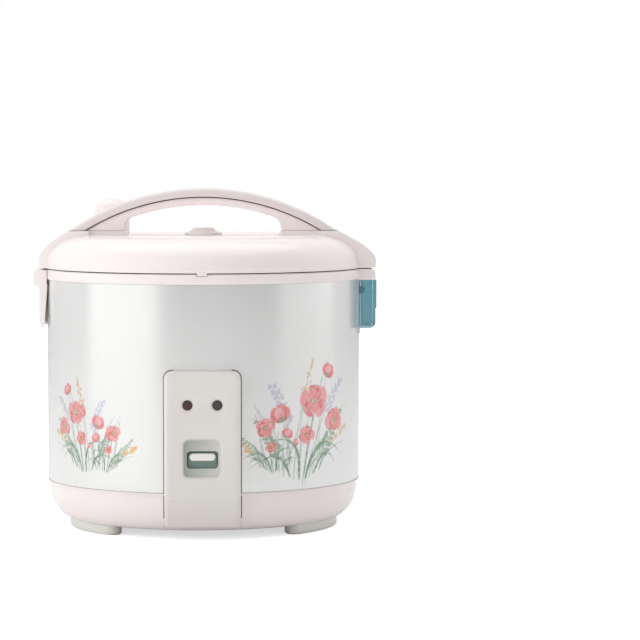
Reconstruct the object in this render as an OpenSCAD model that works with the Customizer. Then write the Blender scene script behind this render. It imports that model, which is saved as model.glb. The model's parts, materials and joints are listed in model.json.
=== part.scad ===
/* [Base tray] */
// Height of the feet under the base
foot_h = 8; // [5:0.5:14]
// Radial width of a foot pad
foot_w = 16; // [10:1:24]
// Angle that one foot pad spans, in degrees
foot_span = 44; // [24:2:50]
// Angle from the side of the object to the middle of a foot pad, in degrees
foot_angle = 27; // [26:1:35]
// Distance that the base's flat underside lies inside the shell
base_turn_in = 17.5; // [15:0.5:26]
// Height of the base tray
base_h = 32; // [26:1:40]
// Wall of the base tray
base_wall = 2.5; // [2:0.25:4]
// Width of the base floor round its opening
base_floor_w = 38.5; // [30:0.5:54]
// Thickness of the bottom plate
bottom_plate_t = 1.2; // [0.8:0.1:2]

/* [Outer shell] */
// Distance from the pot's wall out to the shell
shell_room = 28; // [26:0.5:34]
// Sheet thickness of the shell
shell_t = 0.8; // [0.6:0.1:1.5]
// Height of the shell
shell_h = 168.7; // [150:0.5:200]

/* [Upper ring] */
// Height of the ring above the shell
ring_h = 8.3; // [7.5:0.1:11]
// Distance that the ring stands out past the shell
ring_out = 1; // [0.5:0.25:2]
// Height from the pot ledge up to the ring's top face
ledge_drop = 3.4; // [2.5:0.1:4.5]
// Wall of the ring moulding
ring_wall = 2.6; // [2:0.1:3.5]

/* [Control panel] */
// Width of the control panel
panel_w = 62; // [56:1:72]
// Distance that the panel stands out past the shell
panel_out = 6; // [5:0.5:9]
// Height of the panel's top edge above the floor
panel_top = 139.4; // [130:1:160]
// Height of the panel's bottom edge above the floor
panel_bottom = 10.9; // [9:0.1:14]
// Height where the panel's face turns inwards to follow the base
panel_crease = 36.5; // [32:0.5:44]
// Distance that the panel's face leans back below the crease
panel_lean = 11; // [6:0.5:13]
// Radius of the panel's top corners
panel_corner_r = 6.5; // [5:0.5:12]
// Radius of the panel's front edges
panel_edge_r = 4; // [2:0.5:5]
// Wall of the panel moulding
panel_wall = 2.2; // [1.6:0.1:3]
// Diameter of a lamp lens
lamp_d = 8; // [6:0.5:10]
// Distance between the two lamp lenses
lamp_pitch = 24; // [18:1:34]
// Height of the lamps above the floor
lamp_z = 112; // [102:1:124]

/* [Cook switch] */
// Side of the square recess round the switch slot
recess_side = 33; // [31:0.5:38]
// Depth of that recess
recess_depth = 3; // [2:0.25:4]
// Width of the switch slot
slot_w = 25.2; // [24:0.2:28]
// Height of the switch slot
slot_h = 14.2; // [13.8:0.2:18]
// Height of the slot's centre above the floor
slot_z = 67.7; // [64:0.1:74]
// Width of the switch key
key_w = 21; // [16:0.5:22]
// Height of the switch key
key_h = 6; // [5:0.25:6.5]
// Angle that the switch lever turns when the key is down, in degrees
lever_press = 6; // [4:0.5:6]
// Distance from the lever's pivot to the key's foot
lever_reach = 54; // [50:1:55]
// Distance from the shell in to the lever's pivot
lever_in = 62; // [56:1:68]
// Height of the lever's pivot above the floor
lever_pivot_z = 45; // [43:0.5:46]
// Radius of the lever's pivot pin
lever_pin_r = 2; // [1.5:0.25:2.5]
// Width of the lever strip
lever_w = 12; // [8:1:14]
// Thickness of the lever strip
lever_t = 1.5; // [1:0.25:2]
// Radius of the holding magnet
magnet_r = 9; // [6:0.5:9.5]

/* [Heater and pot] */
// Height of the heating plate's top face above the floor
plate_top = 76; // [74:0.5:80]
// Distance that the heating plate's edge lies inside the pot's wall
plate_in = 16; // [14:0.5:24]
// Gap between the pot's wall and the inner can
can_gap = 4; // [2:0.5:7]
// Sheet thickness of the inner can
can_t = 0.8; // [0.6:0.1:1.2]
// Height of the inner can's floor above the floor
can_floor = 58; // [56:0.5:60]
// Radius of the thermostat's cap
sensor_r = 15; // [14:0.5:16]
// Distance that the thermostat's cap can sink
sensor_travel = 1.5; // [1:0.1:1.7]
// Outer radius of the inner pot
pot_r = 104; // [100:0.5:105]
// Wall of the inner pot
pot_t = 1.3; // [1:0.1:2]
// Width of the pot's rim flange
pot_flange = 8; // [6:0.5:9]

/* [Lid] */
// Gap between the ring and the lid
lid_gap = 0.9; // [0.7:0.05:1.2]
// Height of the lid above that gap
lid_h = 27.4; // [24:0.5:34]
// Height of the band round the lid's lower edge
lid_band_h = 2.4; // [1.5:0.1:4]
// Wall of the lid cover
lid_wall = 2.4; // [1.8:0.1:3]
// Width of the lid's shoulder round its flat top
lid_shoulder = 36; // [30:0.5:41]
// Width of the fairings over the latch and the hinge
ear_w = 49; // [44:1:56]
// Distance that the latch fairing stands out past the ring
latch_ear_out = 5.2; // [5:0.1:8]
// Distance that the hinge fairing stands out past the ring
hinge_ear_out = 12.6; // [12:0.1:15]
// Height of the handle's seats above the lid's top
seat_h = 3.7; // [3:0.1:6]
// Radius of the centre cap's base
knob_r = 16; // [12:0.5:18]
// Height of the centre cap
knob_h = 6; // [4:0.5:7]

/* [Handle] */
// Radius of the seam between the grip and the arch
seam_r = 189; // [185:0.5:195]
// Height of the seam's crown above the lid's top
seam_rise = 32.4; // [30:0.2:36]
// Thickness of the arch and of the grip at the crown
handle_t = 7; // [6:0.5:9]
// Width of the grip, front to back
grip_w = 40; // [34:1:46]
// Width of the arch, front to back
arch_w = 34; // [28:1:44]
// Half of the finger opening's length
finger_half = 66; // [58:1:72]
// Corner radius of the finger opening
finger_r = 10; // [7:0.5:12]

/* [Steam vent] */
// Distance along X that the vent lies inside the edge of the lid's flat top
vent_in = 17.5; // [13:0.5:27]
// Position of the vent along Y
vent_y = 57; // [50:1:62]
// Radius of the steam cap
cap_r = 15; // [14.5:0.5:18]
// Height of the steam cap above the lid's top
cap_h = 30; // [26:1:36]
// Outer radius of the vent tube
vent_r = 12; // [10:0.5:13]

/* [Hinge] */
// Distance that the hinge pin lies outside the ring
hinge_out = 8; // [7.5:0.1:8.3]
// Distance that the hinge pin lies below the ring's top face
hinge_drop = 4; // [3.8:0.1:4.3]
// Radius of the hinge pin
hinge_pin_r = 1.8; // [1.2:0.1:2.2]
// Radius of the hinge knuckles
knuckle_r = 4; // [3.4:0.1:4]
// Angle to which the lid opens, in degrees
lid_open = 90; // [60:5:90]

/* [Latch] */
// Distance that the latch pin lies outside the ring
latch_pin_out = 4.5; // [4:0.1:5]
// Distance that the latch pin lies below the ring's top face
latch_drop = 8.5; // [8:0.1:9]
// Radius of the latch pin
latch_pin_r = 1.5; // [1:0.1:1.6]
// Distance that the latch's upper block stands out past the ring
latch_out = 10.1; // [10:0.1:13]
// Length of the latch lever
latch_len = 48.6; // [44:0.2:54]
// Angle that the latch lever turns when pressed, in degrees
latch_press = 5; // [3:0.5:5]

/* [Dew collector] */
// Height of the dew collector
dew_h = 40.4; // [36:0.2:46]
// Distance that the collector stands out past the shell
dew_out = 14; // [12:0.5:18]
// Wall of the collector
dew_wall = 1.6; // [1.2:0.1:2]
// Distance that the collector pulls out
dew_pull = 24; // [16:1:40]

/* [Cord inlet] */
// Width of the inlet's flange
inlet_w = 48; // [44:1:56]
// Height of the inlet's flange
inlet_h = 36; // [32:1:44]
// Height of the inlet's centre above the floor
inlet_z = 66; // [62:1:80]
// Distance that the inlet's flange stands out past the shell
inlet_out = 6; // [4:0.5:8]

/* [Fits] */
// Radial clearance of a pin in its moving part
pin_fit = 0.05; // [0.02:0.01:0.09]
// Gap between parts that move past each other
move_gap = 0.4; // [0.35:0.05:0.5]
// Gap between the pot's flange and its ledge
pot_gap = 0.3; // [0.2:0.05:0.4]

/* [Hidden] */
$fn = 96;
eps = 0.01;
shell_color = "#f2f1ee";
lid_color = "#f4ecea";
panel_color = "#ece6e1";
grip_color = "#e3cfcf";
dew_color = "#5f9fae";
steel_color = "#b9bcc0";
dark_color = "#3b4446";
brass_color = "#c9a45a";

// Radii, from the pot outwards, and the places that hang on them
plate_r = pot_r - plate_in;
can_r = pot_r + can_gap;
shell_r = pot_r + shell_room;
ring_r = shell_r + ring_out;
base_flat_r = shell_r - base_turn_in;
base_hole_r = base_flat_r - base_floor_w;
lid_flat_r = ring_r - lid_shoulder;
latch_ear_x = ring_r + latch_ear_out;
hinge_ear_x = ring_r + hinge_ear_out;
hinge_x = ring_r + hinge_out;
latch_pin_x = ring_r + latch_pin_out;
latch_out_x = ring_r + latch_out;
dew_out_x = shell_r + dew_out;
lever_pivot_y = shell_r - lever_in;
vent_x = vent_in - lid_flat_r;

// Levels, from the floor up
base_top = foot_h + base_h;
shell_top = base_top + shell_h;
ring_top = shell_top + ring_h;
lid_z = ring_top + lid_gap;
lid_top = lid_z + lid_h;
seat_z = lid_top + seat_h;
ledge_z = ring_top - ledge_drop;

// Base
base_rim_r = shell_r - 0.4;
foot_inset = 0.5;
spigot_h = 6;
spigot_fit = 0.2;
plate_overlap = 8;
base_screw_r = base_hole_r + plate_overlap / 2 + 1;
screw_r = 1.5;
screw_head_r = 3.4;
screw_head_h = 1.8;

// Panel and switch
panel_y = -(shell_r + panel_out);
panel_gap = 0.4;
recess_draft = 2.5;
key_z = slot_z + slot_h / 2 - key_h / 2 - 1.9;
key_face_y = panel_y + recess_depth - 0.4;
key_depth = 4.5;
shutter_y = key_face_y + key_depth;
shutter_t = 1.2;
key_travel = lever_reach * lever_press * PI / 180;
can_outer_r = can_r + can_t;

// Switch train
lever_end_y = 4;
key_foot_w = 9;
lever_top = lever_pivot_z + lever_t / 2;
sensor_stem_bottom = plate_top - 12.5;
magnet_travel = lever_pivot_y * lever_press * PI / 180;
magnet_top = sensor_stem_bottom - magnet_travel - sensor_travel - move_gap;
boss_bottom = lever_top + 0.5;
holder_floor = boss_bottom + 1.8;
holder_wall = 1.2;

// Heating plate
plate_t = 8;
plate_bottom = plate_top - plate_t;
seat_ring_t = 1.5;
spring_seat_z = plate_bottom + seat_ring_t;
sensor_cap_top = plate_top - pot_gap;

// Lid
pot_rim_z = ledge_z + pot_gap;
pot_rim_top = pot_rim_z + pot_t;
pot_seam_z = pot_rim_z - 1;
liner_z = lid_z + 4.4;
arc_z = lid_top + seam_rise - seam_r;
grip_r = seam_r + handle_t;
under_r = seam_r - handle_t;

// Hinge and latch axes
hinge_z = ring_top - hinge_drop;
latch_z = ring_top - latch_drop;
leaf_half = 13.6;
knuckle_gap = 0.4;
ear_half = ear_w / 2;
catch_x = ring_r - 15.2;

// Dew collector
dew_top = shell_top - 1.1;
dew_z = dew_top - dew_h;
holder_t = 0.9;
tongue_l = 3.3;

function quad(a, b, c, n) =
    [for (i = [0:n]) let (t = i / n) a * (1 - t) * (1 - t) + b * 2 * t * (1 - t) + c * t * t];
function cubic(a, b, c, d, n) =
    [for (i = [0:n]) let (t = i / n, u = 1 - t)
        a * u * u * u + b * 3 * t * u * u + c * 3 * t * t * u + d * t * t * t];
function reversed(p) = [for (i = [len(p) - 1:-1:0]) p[i]];

// Outline in X and Z, drawn out along Y and centred on the XZ plane
module along_y(w) {
    translate([0, w / 2, 0]) rotate([90, 0, 0]) linear_extrude(w) children();
}

// Outline in Y and Z, drawn out along X and centred on the YZ plane
module along_x(w) {
    translate([-w / 2, 0, 0]) rotate([90, 0, 90]) linear_extrude(w) children();
}

module rod_y(r, l) {
    rotate([90, 0, 0]) cylinder(r = r, h = l, center = true);
}

module rod_x(r, l) {
    rotate([0, 90, 0]) cylinder(r = r, h = l, center = true);
}

module tube(ro, ri, h) {
    difference() {
        cylinder(r = ro, h = h);
        translate([0, 0, -1]) cylinder(r = ri, h = h + 2);
    }
}

module rounded_rect(w, h, r) {
    square([w - 2 * r, h], center = true);
    square([w, h - 2 * r], center = true);
    for (x = [-1, 1], y = [-1, 1])
        translate([x * (w / 2 - r), y * (h / 2 - r)]) circle(r);
}

// Closed coil of round wire about Z, swept as one ring of facets after another
module coil(r, wire, h, turns) {
    steps = 14;
    sides = 6;
    n = steps * turns;
    pitch = (h - 2 * wire) / turns;
    points = [for (i = [0:n], s = [0:sides - 1])
        let (a = i * 360 / steps, b = s * 360 / sides, q = r + wire * cos(b))
        [q * cos(a), q * sin(a), wire + pitch * i / steps + wire * sin(b)]];
    walls = [for (i = [0:n - 1], s = [0:sides - 1])
        let (t = (s + 1) % sides)
        [i * sides + s, i * sides + t, (i + 1) * sides + t, (i + 1) * sides + s]];
    caps = [[for (s = [sides - 1:-1:0]) s], [for (s = [0:sides - 1]) n * sides + s]];
    polyhedron(points, concat(walls, caps), convexity = 10);
}

// Outline of the base's outside from the floor up to its rim
function base_side() = concat(
    quad([base_flat_r, foot_h], [shell_r - 3.5, foot_h + 5.5], [shell_r - 2, foot_h + 26], 8),
    [[shell_r - 1.8, base_top - 2]]);

module base_tray() {
    spigot_r = shell_r - shell_t - spigot_fit;
    outside = base_side();
    inside = [for (p = outside) [p[0] - base_wall, p[1] + base_wall * (p[0] < shell_r - 6 ? 1 : 0)]];
    color(lid_color) difference() {
        union() {
            rotate_extrude() polygon(concat(
                [[base_hole_r, foot_h]], outside,
                [[base_rim_r, base_top - 2], [base_rim_r, base_top], [spigot_r, base_top],
                 [spigot_r, base_top + spigot_h], [spigot_r - base_wall, base_top + spigot_h],
                 [spigot_r - base_wall, base_top - 2]],
                reversed(inside),
                [[base_hole_r, foot_h + base_wall]]));
            for (a = [45:90:315]) rotate(a) translate([base_screw_r, 0, foot_h + base_wall])
                cylinder(r = screw_r + 2.6, h = 8);
        }
        for (a = [45:90:315]) rotate(a) translate([base_screw_r, 0, foot_h - 1])
            cylinder(r = screw_r + pin_fit, h = 10);
    }
}

// Sheet cover under the base's opening, with rows of air slots
module bottom_plate() {
    slot_gap = 11;
    slot_count = 5;
    color(steel_color) difference() {
        translate([0, 0, foot_h - bottom_plate_t])
            cylinder(r = base_hole_r + plate_overlap, h = bottom_plate_t);
        for (a = [45:90:315]) rotate(a) translate([base_screw_r, 0, 0])
            cylinder(r = screw_r + 0.2, h = foot_h + 1);
        for (i = [0:slot_count - 1], side = [-1, 1])
            translate([side * 30, (i - (slot_count - 1) / 2) * slot_gap, foot_h - bottom_plate_t - 1])
                linear_extrude(bottom_plate_t + 2) rounded_rect(34, 3.6, 1.79);
    }
}

// One curved foot pad about the given angle
module foot(angle) {
    mid_r = base_flat_r - foot_inset - foot_w / 2;
    end = foot_span / 2 - asin(foot_w / 2 / mid_r);
    half = foot_w / 2;
    side = [[0, 1.5], [0, foot_h], [half, foot_h], [half, 1.5], [half - 1.5, 0], [0, 0]];
    whole = concat([for (p = side) if (p[0] > 0) p], [for (p = reversed(side)) if (p[0] > 0) [-p[0], p[1]]]);
    color("#dfe3dc") rotate(angle) {
        rotate(-end) rotate_extrude(angle = 2 * end) translate([mid_r, 0]) polygon(whole);
        for (s = [-1, 1]) rotate(s * end) translate([mid_r, 0, 0])
            rotate_extrude() polygon(side);
    }
}

module foot_front_left() { foot(180 + foot_angle); }
module foot_front_right() { foot(-foot_angle); }
module foot_rear_left() { foot(180 - foot_angle); }
module foot_rear_right() { foot(foot_angle); }

module outer_shell() {
    color(shell_color) difference() {
        translate([0, 0, base_top]) tube(shell_r, shell_r - shell_t, shell_h);
        translate([0, panel_y, slot_z]) cube([slot_w + 8.8, 24, slot_h + 18], center = true);
        for (s = [-1, 1]) translate([s * lamp_pitch / 2, -shell_r, lamp_z])
            rod_y(lamp_d / 2 + 1.5, 20);
        translate([0, shell_r, inlet_z]) cube([inlet_w - 6, 20, inlet_h - 6], center = true);
    }
}

// Profile of the ring: collar, rim, slope to the pot's ledge and the spigot inside the shell
module ring_profile() {
    spigot_r = shell_r - shell_t - spigot_fit;
    inner = spigot_r - ring_wall;
    lip = can_r - 1.8;
    ledge_out = pot_r + pot_flange + 3.5;
    polygon([
        [inner, shell_top - spigot_h], [spigot_r, shell_top - spigot_h], [spigot_r, shell_top],
        [ring_r, shell_top], [ring_r, ring_top - 0.8], [ring_r - 0.8, ring_top],
        [ring_r - 12, ring_top], [ledge_out, ledge_z], [lip + 0.8, ledge_z], [lip, ledge_z - 0.8],
        [lip, shell_top], [lip + ring_wall, shell_top], [lip + ring_wall, ledge_z - ring_wall],
        [ledge_out + 1, ledge_z - ring_wall], [ring_r - 12.6, ring_top - ring_wall],
        [inner, ring_top - ring_wall]]);
}

// Bracket under the hinge fairing, with an ear at each end of the pin
module hinge_bracket() {
    floor_z = dew_top + move_gap / 2;
    out_x = hinge_x + knuckle_r;
    difference() {
        along_y(ear_w) {
            polygon([[ring_r - 6, floor_z], [out_x, floor_z], [out_x, hinge_z],
                [hinge_x, hinge_z + knuckle_r], [ring_r - 6, hinge_z + knuckle_r]]);
            translate([hinge_x, hinge_z]) circle(knuckle_r);
        }
        translate([0, 0, floor_z - 1]) cylinder(r = shell_r, h = ring_h * 2);
        translate([hinge_x + 10 - knuckle_r - 1.2, 0, hinge_z])
            cube([20, 2 * (leaf_half + knuckle_gap), 40], center = true);
        translate([hinge_x, 0, hinge_z]) rod_y(hinge_pin_r, ear_w - 4);
    }
}

// Ears that carry the latch pin
module latch_ears() {
    for (s = [-1, 1]) difference() {
        translate([0, s * 17.75, 0]) along_y(3.5) {
            translate([-latch_pin_x, latch_z]) circle(3);
            polygon([[-latch_pin_x, latch_z + 3], [-latch_pin_x, latch_z - 3],
                [-ring_r + 4, shell_top + 0.5], [-ring_r + 4, ring_top - 3.6], [-ring_r - 1, ring_top - 3.6]]);
        }
        translate([0, 0, shell_top - 10]) cylinder(r = shell_r, h = ring_h * 3);
        translate([-latch_pin_x, 0, latch_z]) rod_y(latch_pin_r, ear_w);
    }
}

module upper_ring() {
    tab_w = 8;
    color(lid_color) difference() {
        union() {
            rotate_extrude() ring_profile();
            difference() {
                union() {
                    hinge_bracket();
                    latch_ears();
                }
                translate([0, 0, shell_top - 10]) cylinder(r = ring_r - 3, h = 40);
            }
        }
        translate([0, -ring_r, ring_top]) cube([tab_w + 1.2, 5, 3.6], center = true);
    }
}

// One end of the panel's rounded block: corner radius in the face, edge radius round the front
module panel_corner(x, z, corner) {
    translate([x, panel_y + panel_edge_r, z]) rotate([90, 0, 0])
        rotate_extrude($fn = 32) translate([corner - panel_edge_r + 0.01, 0])
            intersection() {
                circle(panel_edge_r, $fn = 32);
                translate([0, -panel_edge_r]) square(2 * panel_edge_r);
            }
}

module panel_block() {
    side = panel_w / 2;
    back = 24;
    hull() {
        for (s = [-1, 1]) {
            panel_corner(s * (side - panel_corner_r), panel_top - panel_corner_r, panel_corner_r);
            panel_corner(s * (side - panel_edge_r), panel_crease, panel_edge_r);
            translate([0, panel_lean, 0])
                panel_corner(s * (side - panel_edge_r), panel_bottom + panel_edge_r, panel_edge_r);
        }
        for (s = [-1, 1]) translate([s * (side - panel_corner_r), panel_y + back, panel_top - panel_corner_r])
            rotate([90, 0, 0]) cylinder(r = panel_corner_r, h = 1, $fn = 32);
        translate([0, panel_y + back - 0.5, panel_bottom + 0.5]) cube([panel_w, 1, 1], center = true);
    }
}

module recess_cut() {
    floor_side = recess_side - 2 * recess_draft;
    hull() {
        translate([0, panel_y - 0.05, slot_z + 1]) rotate([90, 0, 0])
            linear_extrude(0.1) rounded_rect(recess_side, recess_side, 5.5, $fn = 32);
        translate([0, panel_y + recess_depth, slot_z + 1]) rotate([90, 0, 0])
            linear_extrude(0.1) rounded_rect(floor_side, floor_side, 4, $fn = 32);
    }
}

module control_panel() {
    inside_w = panel_w - 2 * panel_wall;
    rib = recess_side / 2 + 3;
    color(panel_color) difference() {
        panel_block();
        rotate_extrude() polygon(concat([[0, 0]], [[base_flat_r + panel_gap, 0]],
            [for (p = base_side()) [p[0] + panel_gap, p[1]]],
            [[base_rim_r + panel_gap, base_top - 2 - panel_gap],
             [shell_r + 0.05, base_top + 0.3], [shell_r + 0.05, shell_top], [0, shell_top]]));
        // Hollow behind the face, above and below the switch
        translate([0, panel_y + panel_wall + 10, (panel_top - panel_wall + slot_z + rib) / 2])
            cube([inside_w, 20, panel_top - panel_wall - slot_z - rib], center = true);
        recess_cut();
        translate([0, panel_y, slot_z]) rotate([90, 0, 0])
            linear_extrude(40, center = true) rounded_rect(slot_w, slot_h, 3, $fn = 32);
        for (s = [-1, 1]) translate([s * lamp_pitch / 2, panel_y, lamp_z]) {
            rod_y(lamp_d / 2 + 0.1, 20);
            rod_y(lamp_d / 2 + 1, 1);
        }
    }
}

// Lens with its light pipe back to the lamp board
module lamp_lens(side, tint) {
    board_y = -(shell_r - 2.7);
    face_y = panel_y + 0.2;
    color(tint) translate([side * lamp_pitch / 2, 0, lamp_z]) rotate([-90, 0, 0])
        translate([0, 0, face_y]) rotate_extrude() polygon(concat(
            [[0, 0]], [for (a = [0:15:90]) [lamp_d / 2 - 1 + sin(a), 1 - cos(a)]],
            [[lamp_d / 2, 3], [lamp_d / 2 - 1, 3], [lamp_d / 2 - 1, board_y - face_y],
             [0, board_y - face_y]]));
}

module cook_lamp_lens() { lamp_lens(-1, "#6b3a34"); }
module warm_lamp_lens() { lamp_lens(1, "#4b5350"); }

module lamp_board() {
    board_w = lamp_pitch + lamp_d + 6;
    color("#4f6b4a") translate([0, -(shell_r - 2.7) + 0.8, lamp_z]) cube([board_w, 1.6, 18], center = true);
}

// Frame behind the slot that guides the key's shutter
module key_guide() {
    back_y = -(shell_r - 11);
    wall = 1.8;
    inside_h = slot_h + 14;
    color(dark_color) difference() {
        intersection() {
            translate([0, -shell_r, slot_z])
                cube([slot_w + 2 + 2 * wall, 2 * (shell_r + back_y), inside_h + 2 * wall], center = true);
            translate([0, 0, slot_z - inside_h]) cylinder(r = shell_r, h = 2 * inside_h);
        }
        translate([0, -shell_r, slot_z]) cube([slot_w + 2, 40, inside_h], center = true);
        translate([0, back_y - 5, slot_z - inside_h / 2]) cube([key_foot_w + 3, 14, 20], center = true);
    }
}

module inner_can() {
    flange_r = pot_r + pot_flange + 12;
    color(steel_color) difference() {
        rotate_extrude() polygon([
            [sensor_r + 6, can_floor], [can_outer_r - 5, can_floor], [can_outer_r - 1.5, can_floor + 1.5],
            [can_outer_r, can_floor + 5], [can_outer_r, shell_top - can_t], [flange_r, shell_top - can_t],
            [flange_r, shell_top], [can_r, shell_top], [can_r, can_floor + 5.3],
            [can_r - 1.3, can_floor + 2], [can_r - 4.5, can_floor + can_t],
            [sensor_r + 6, can_floor + can_t]]);
        for (s = [-1, 1]) rotate(90 + s * 20) translate([plate_r - 26, 0, can_floor - 1])
            cylinder(r = 4, h = 4);
    }
}

// Three sheet legs that stand the can on the base
module can_supports() {
    leg_r = can_r - 14;
    leg_h = can_floor - foot_h - base_wall;
    color(steel_color) for (a = [90, 210, 330]) rotate(a)
        translate([leg_r, 0, foot_h + base_wall]) {
            translate([0, -8, 0]) cube([1.5, 16, leg_h]);
            translate([-8, -8, 0]) cube([8.5, 16, 1.5]);
            translate([-8, -8, leg_h - 1.5]) cube([8.5, 16, 1.5]);
        }
}

module side_heater() {
    band_z = plate_top + 50;
    band_h = 26;
    band_t = 1.4;
    color("#c7b48a") translate([0, 0, band_z]) tube(can_outer_r + band_t, can_outer_r, band_h);
}

// Cast plate with its heater ring below and the thermostat's spring seat
module heating_plate() {
    heater_r = plate_r - 26;
    bulge = 5;
    color("#b4b6b8") {
        rotate_extrude() difference() {
            union() {
                polygon([[sensor_r - 3.2, plate_bottom], [plate_r - 4, plate_bottom],
                    [plate_r, plate_bottom + 3], [plate_r, plate_top - 1.5], [plate_r - 3, plate_top],
                    [sensor_r + 0.8, plate_top], [sensor_r + 0.8, spring_seat_z],
                    [sensor_r - 3.2, spring_seat_z]]);
                translate([heater_r, plate_bottom]) circle(bulge);
            }
        }
        for (a = [30:120:270]) rotate(a) translate([plate_r - 9, 0, can_floor + can_t])
            cylinder(r = 4.5, h = plate_bottom - can_floor - can_t + 0.5);
    }
}

module heater_terminals() {
    color(brass_color) for (s = [-1, 1]) rotate(90 + s * 20)
        translate([plate_r - 26, 0, can_floor - 10]) {
            cylinder(r = 2.2, h = plate_bottom - 5 - can_floor + 10);
            translate([-0.4, -3.15, -8]) cube([0.8, 6.3, 9]);
        }
}

module sensor_spring() {
    color(steel_color) translate([0, 0, spring_seat_z])
        coil(sensor_r - 2.3, 0.5, sensor_cap_top - 1.2 - spring_seat_z, 3);
}

// Bracket under the can that carries the lever's pin
module switch_bracket() {
    ear_x = lever_w / 2 + 1;
    ear_t = 1.5;
    top = can_floor - lever_pivot_z;
    color(steel_color) translate([0, -lever_pivot_y, lever_pivot_z]) difference() {
        union() {
            translate([-ear_x - ear_t, -15, top - ear_t]) cube([2 * (ear_x + ear_t), 30, ear_t]);
            for (s = [-1, 1]) translate([s * (ear_x + ear_t / 2), 0, 0]) along_x(ear_t) {
                circle(5);
                polygon([[-5, 0], [5, 0], [12, top - ear_t], [-12, top - ear_t]]);
            }
        }
        rod_x(lever_pin_r, 60);
    }
}

module lever_pin() {
    color(steel_color) translate([0, -lever_pivot_y, lever_pivot_z]) {
        rod_x(lever_pin_r, lever_w + 7);
        for (s = [-1, 1]) translate([s * (lever_w / 2 + 3.5), 0, 0]) rod_x(lever_pin_r + 1, 2 - eps);
    }
}

module microswitch() {
    color(dark_color) translate([lever_w / 2 + 5, -lever_pivot_y - 18, can_floor - 14]) {
        translate([1, 0, 0]) cube([9, 36, 14]);
        translate([3.5, 8, -2]) cube([3, 5, 2]);
    }
}

module thermal_fuse() {
    color(brass_color) translate([0, 44, can_floor - 3.5]) {
        rod_x(3, 26);
        translate([-5, -4, 0]) cube([10, 8, 3.5]);
    }
}

module inlet_socket() {
    depth = 20;
    flange_y = shell_r + inlet_out;
    color(panel_color) difference() {
        union() {
            intersection() {
                translate([0, flange_y - 10, inlet_z]) rotate([-90, 0, 0])
                    linear_extrude(10) rounded_rect(inlet_w, inlet_h, 6);
                difference() {
                    translate([0, 0, inlet_z - inlet_h]) cylinder(r = 200, h = 2 * inlet_h);
                    translate([0, 0, inlet_z - inlet_h - 1]) cylinder(r = shell_r, h = 2 * inlet_h + 2);
                }
            }
            translate([0, flange_y - depth / 2 - 1, inlet_z])
                cube([inlet_w - 7, depth, inlet_h - 7], center = true);
        }
        translate([0, flange_y - 7, inlet_z]) rotate([-90, 0, 0])
            linear_extrude(30, center = true) rounded_rect(inlet_w - 13, inlet_h - 13, 4);
        translate([0, flange_y, inlet_z]) rotate([90, 0, 0])
            linear_extrude(1.2, center = true) rounded_rect(inlet_w - 8, inlet_h - 8, 5);
    }
    color(panel_color) translate([0, flange_y - depth + 0.5, inlet_z])
        cube([inlet_w - 7, 3, inlet_h - 7], center = true);
}

module inlet_pins() {
    pin_gap = 12.7;
    back_y = shell_r + inlet_out - 20 + 2;
    color(brass_color) for (s = [-1, 1])
        translate([s * pin_gap / 2, back_y, inlet_z]) {
            translate([-0.75, 0, -3.15]) cube([1.5, 13, 6.3]);
            translate([-0.4, -9, -3.15]) cube([0.8, 6, 6.3]);
        }
}

module case_screws() {
    color(steel_color) for (a = [45:90:315]) rotate(a)
        translate([base_screw_r, 0, foot_h - bottom_plate_t]) difference() {
            union() {
                cylinder(r = screw_r, h = 9);
                mirror([0, 0, 1]) cylinder(r1 = screw_head_r, r2 = screw_head_r - 1, h = screw_head_h);
            }
            for (t = [0, 90]) rotate(t) translate([0, 0, -screw_head_h])
                cube([4, 0.9, 2], center = true);
        }
}

// Straight-sided pot with a rounded foot, a rolled rim flange and a flat seat
module inner_pot() {
    foot_r = pot_r - 14;
    foot_rise = 20;
    outside = quad([foot_r, plate_top], [pot_r, plate_top], [pot_r, plate_top + foot_rise], 10);
    inside = quad([foot_r, plate_top + pot_t], [pot_r - pot_t, plate_top + pot_t],
        [pot_r - pot_t, plate_top + foot_rise], 10);
    color("#c9ccce") rotate_extrude() polygon(concat(
        [[0, plate_top]], outside,
        [[pot_r, pot_seam_z], [pot_r - pot_t, pot_seam_z]],
        reversed(inside), [[0, plate_top + pot_t]]));
}

// Flanged ring that closes the pot's wall at the top and hangs on the ledge
module pot_rim() {
    color("#c9ccce") rotate_extrude() polygon([
        [pot_r - pot_t, pot_seam_z], [pot_r, pot_seam_z], [pot_r, pot_rim_z],
        [pot_r + pot_flange, pot_rim_z], [pot_r + pot_flange, pot_rim_top],
        [pot_r + 1, pot_rim_top]]);
}

// Dome outline: band, shoulder and flat top, moved in by the given wall
function dome_side(wall) = concat(
    [[ring_r + 0.4 - wall, lid_z + lid_band_h], [ring_r - 0.3 - wall, lid_z + lid_band_h + 0.6]],
    cubic([ring_r - 0.5 - wall, lid_z + 4], [ring_r - 1.2 - wall, lid_z + 0.68 * lid_h],
        [lid_flat_r + 20 - wall, lid_top - wall - 0.6], [lid_flat_r - wall, lid_top - wall], 12));

module dome(wall) {
    rotate_extrude() polygon(concat(
        [[0, lid_z - (wall > 0 ? 1 : 0)], [ring_r + 0.4 - wall, lid_z - (wall > 0 ? 1 : 0)]],
        dome_side(wall), [[0, lid_top - wall]]));
}

// Fairing outline in X and Z on the +X side, from its lower edge up to the handle's seat
function ear_side(out_x, seat_x, wall) = concat(
    [[out_x - 0.6 - wall, lid_z]],
    cubic([out_x - wall, lid_z + 6], [out_x - 1 - wall, lid_z + 0.58 * lid_h],
        [seat_x + 12 - wall, lid_top - 3 - wall], [seat_x - wall, seat_z - wall], 10));

module ear(out_x, seat_x, inner_x) {
    along_y(ear_w) polygon(concat(ear_side(out_x, seat_x, 0), [[inner_x, seat_z], [inner_x, lid_z]]));
}

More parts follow.
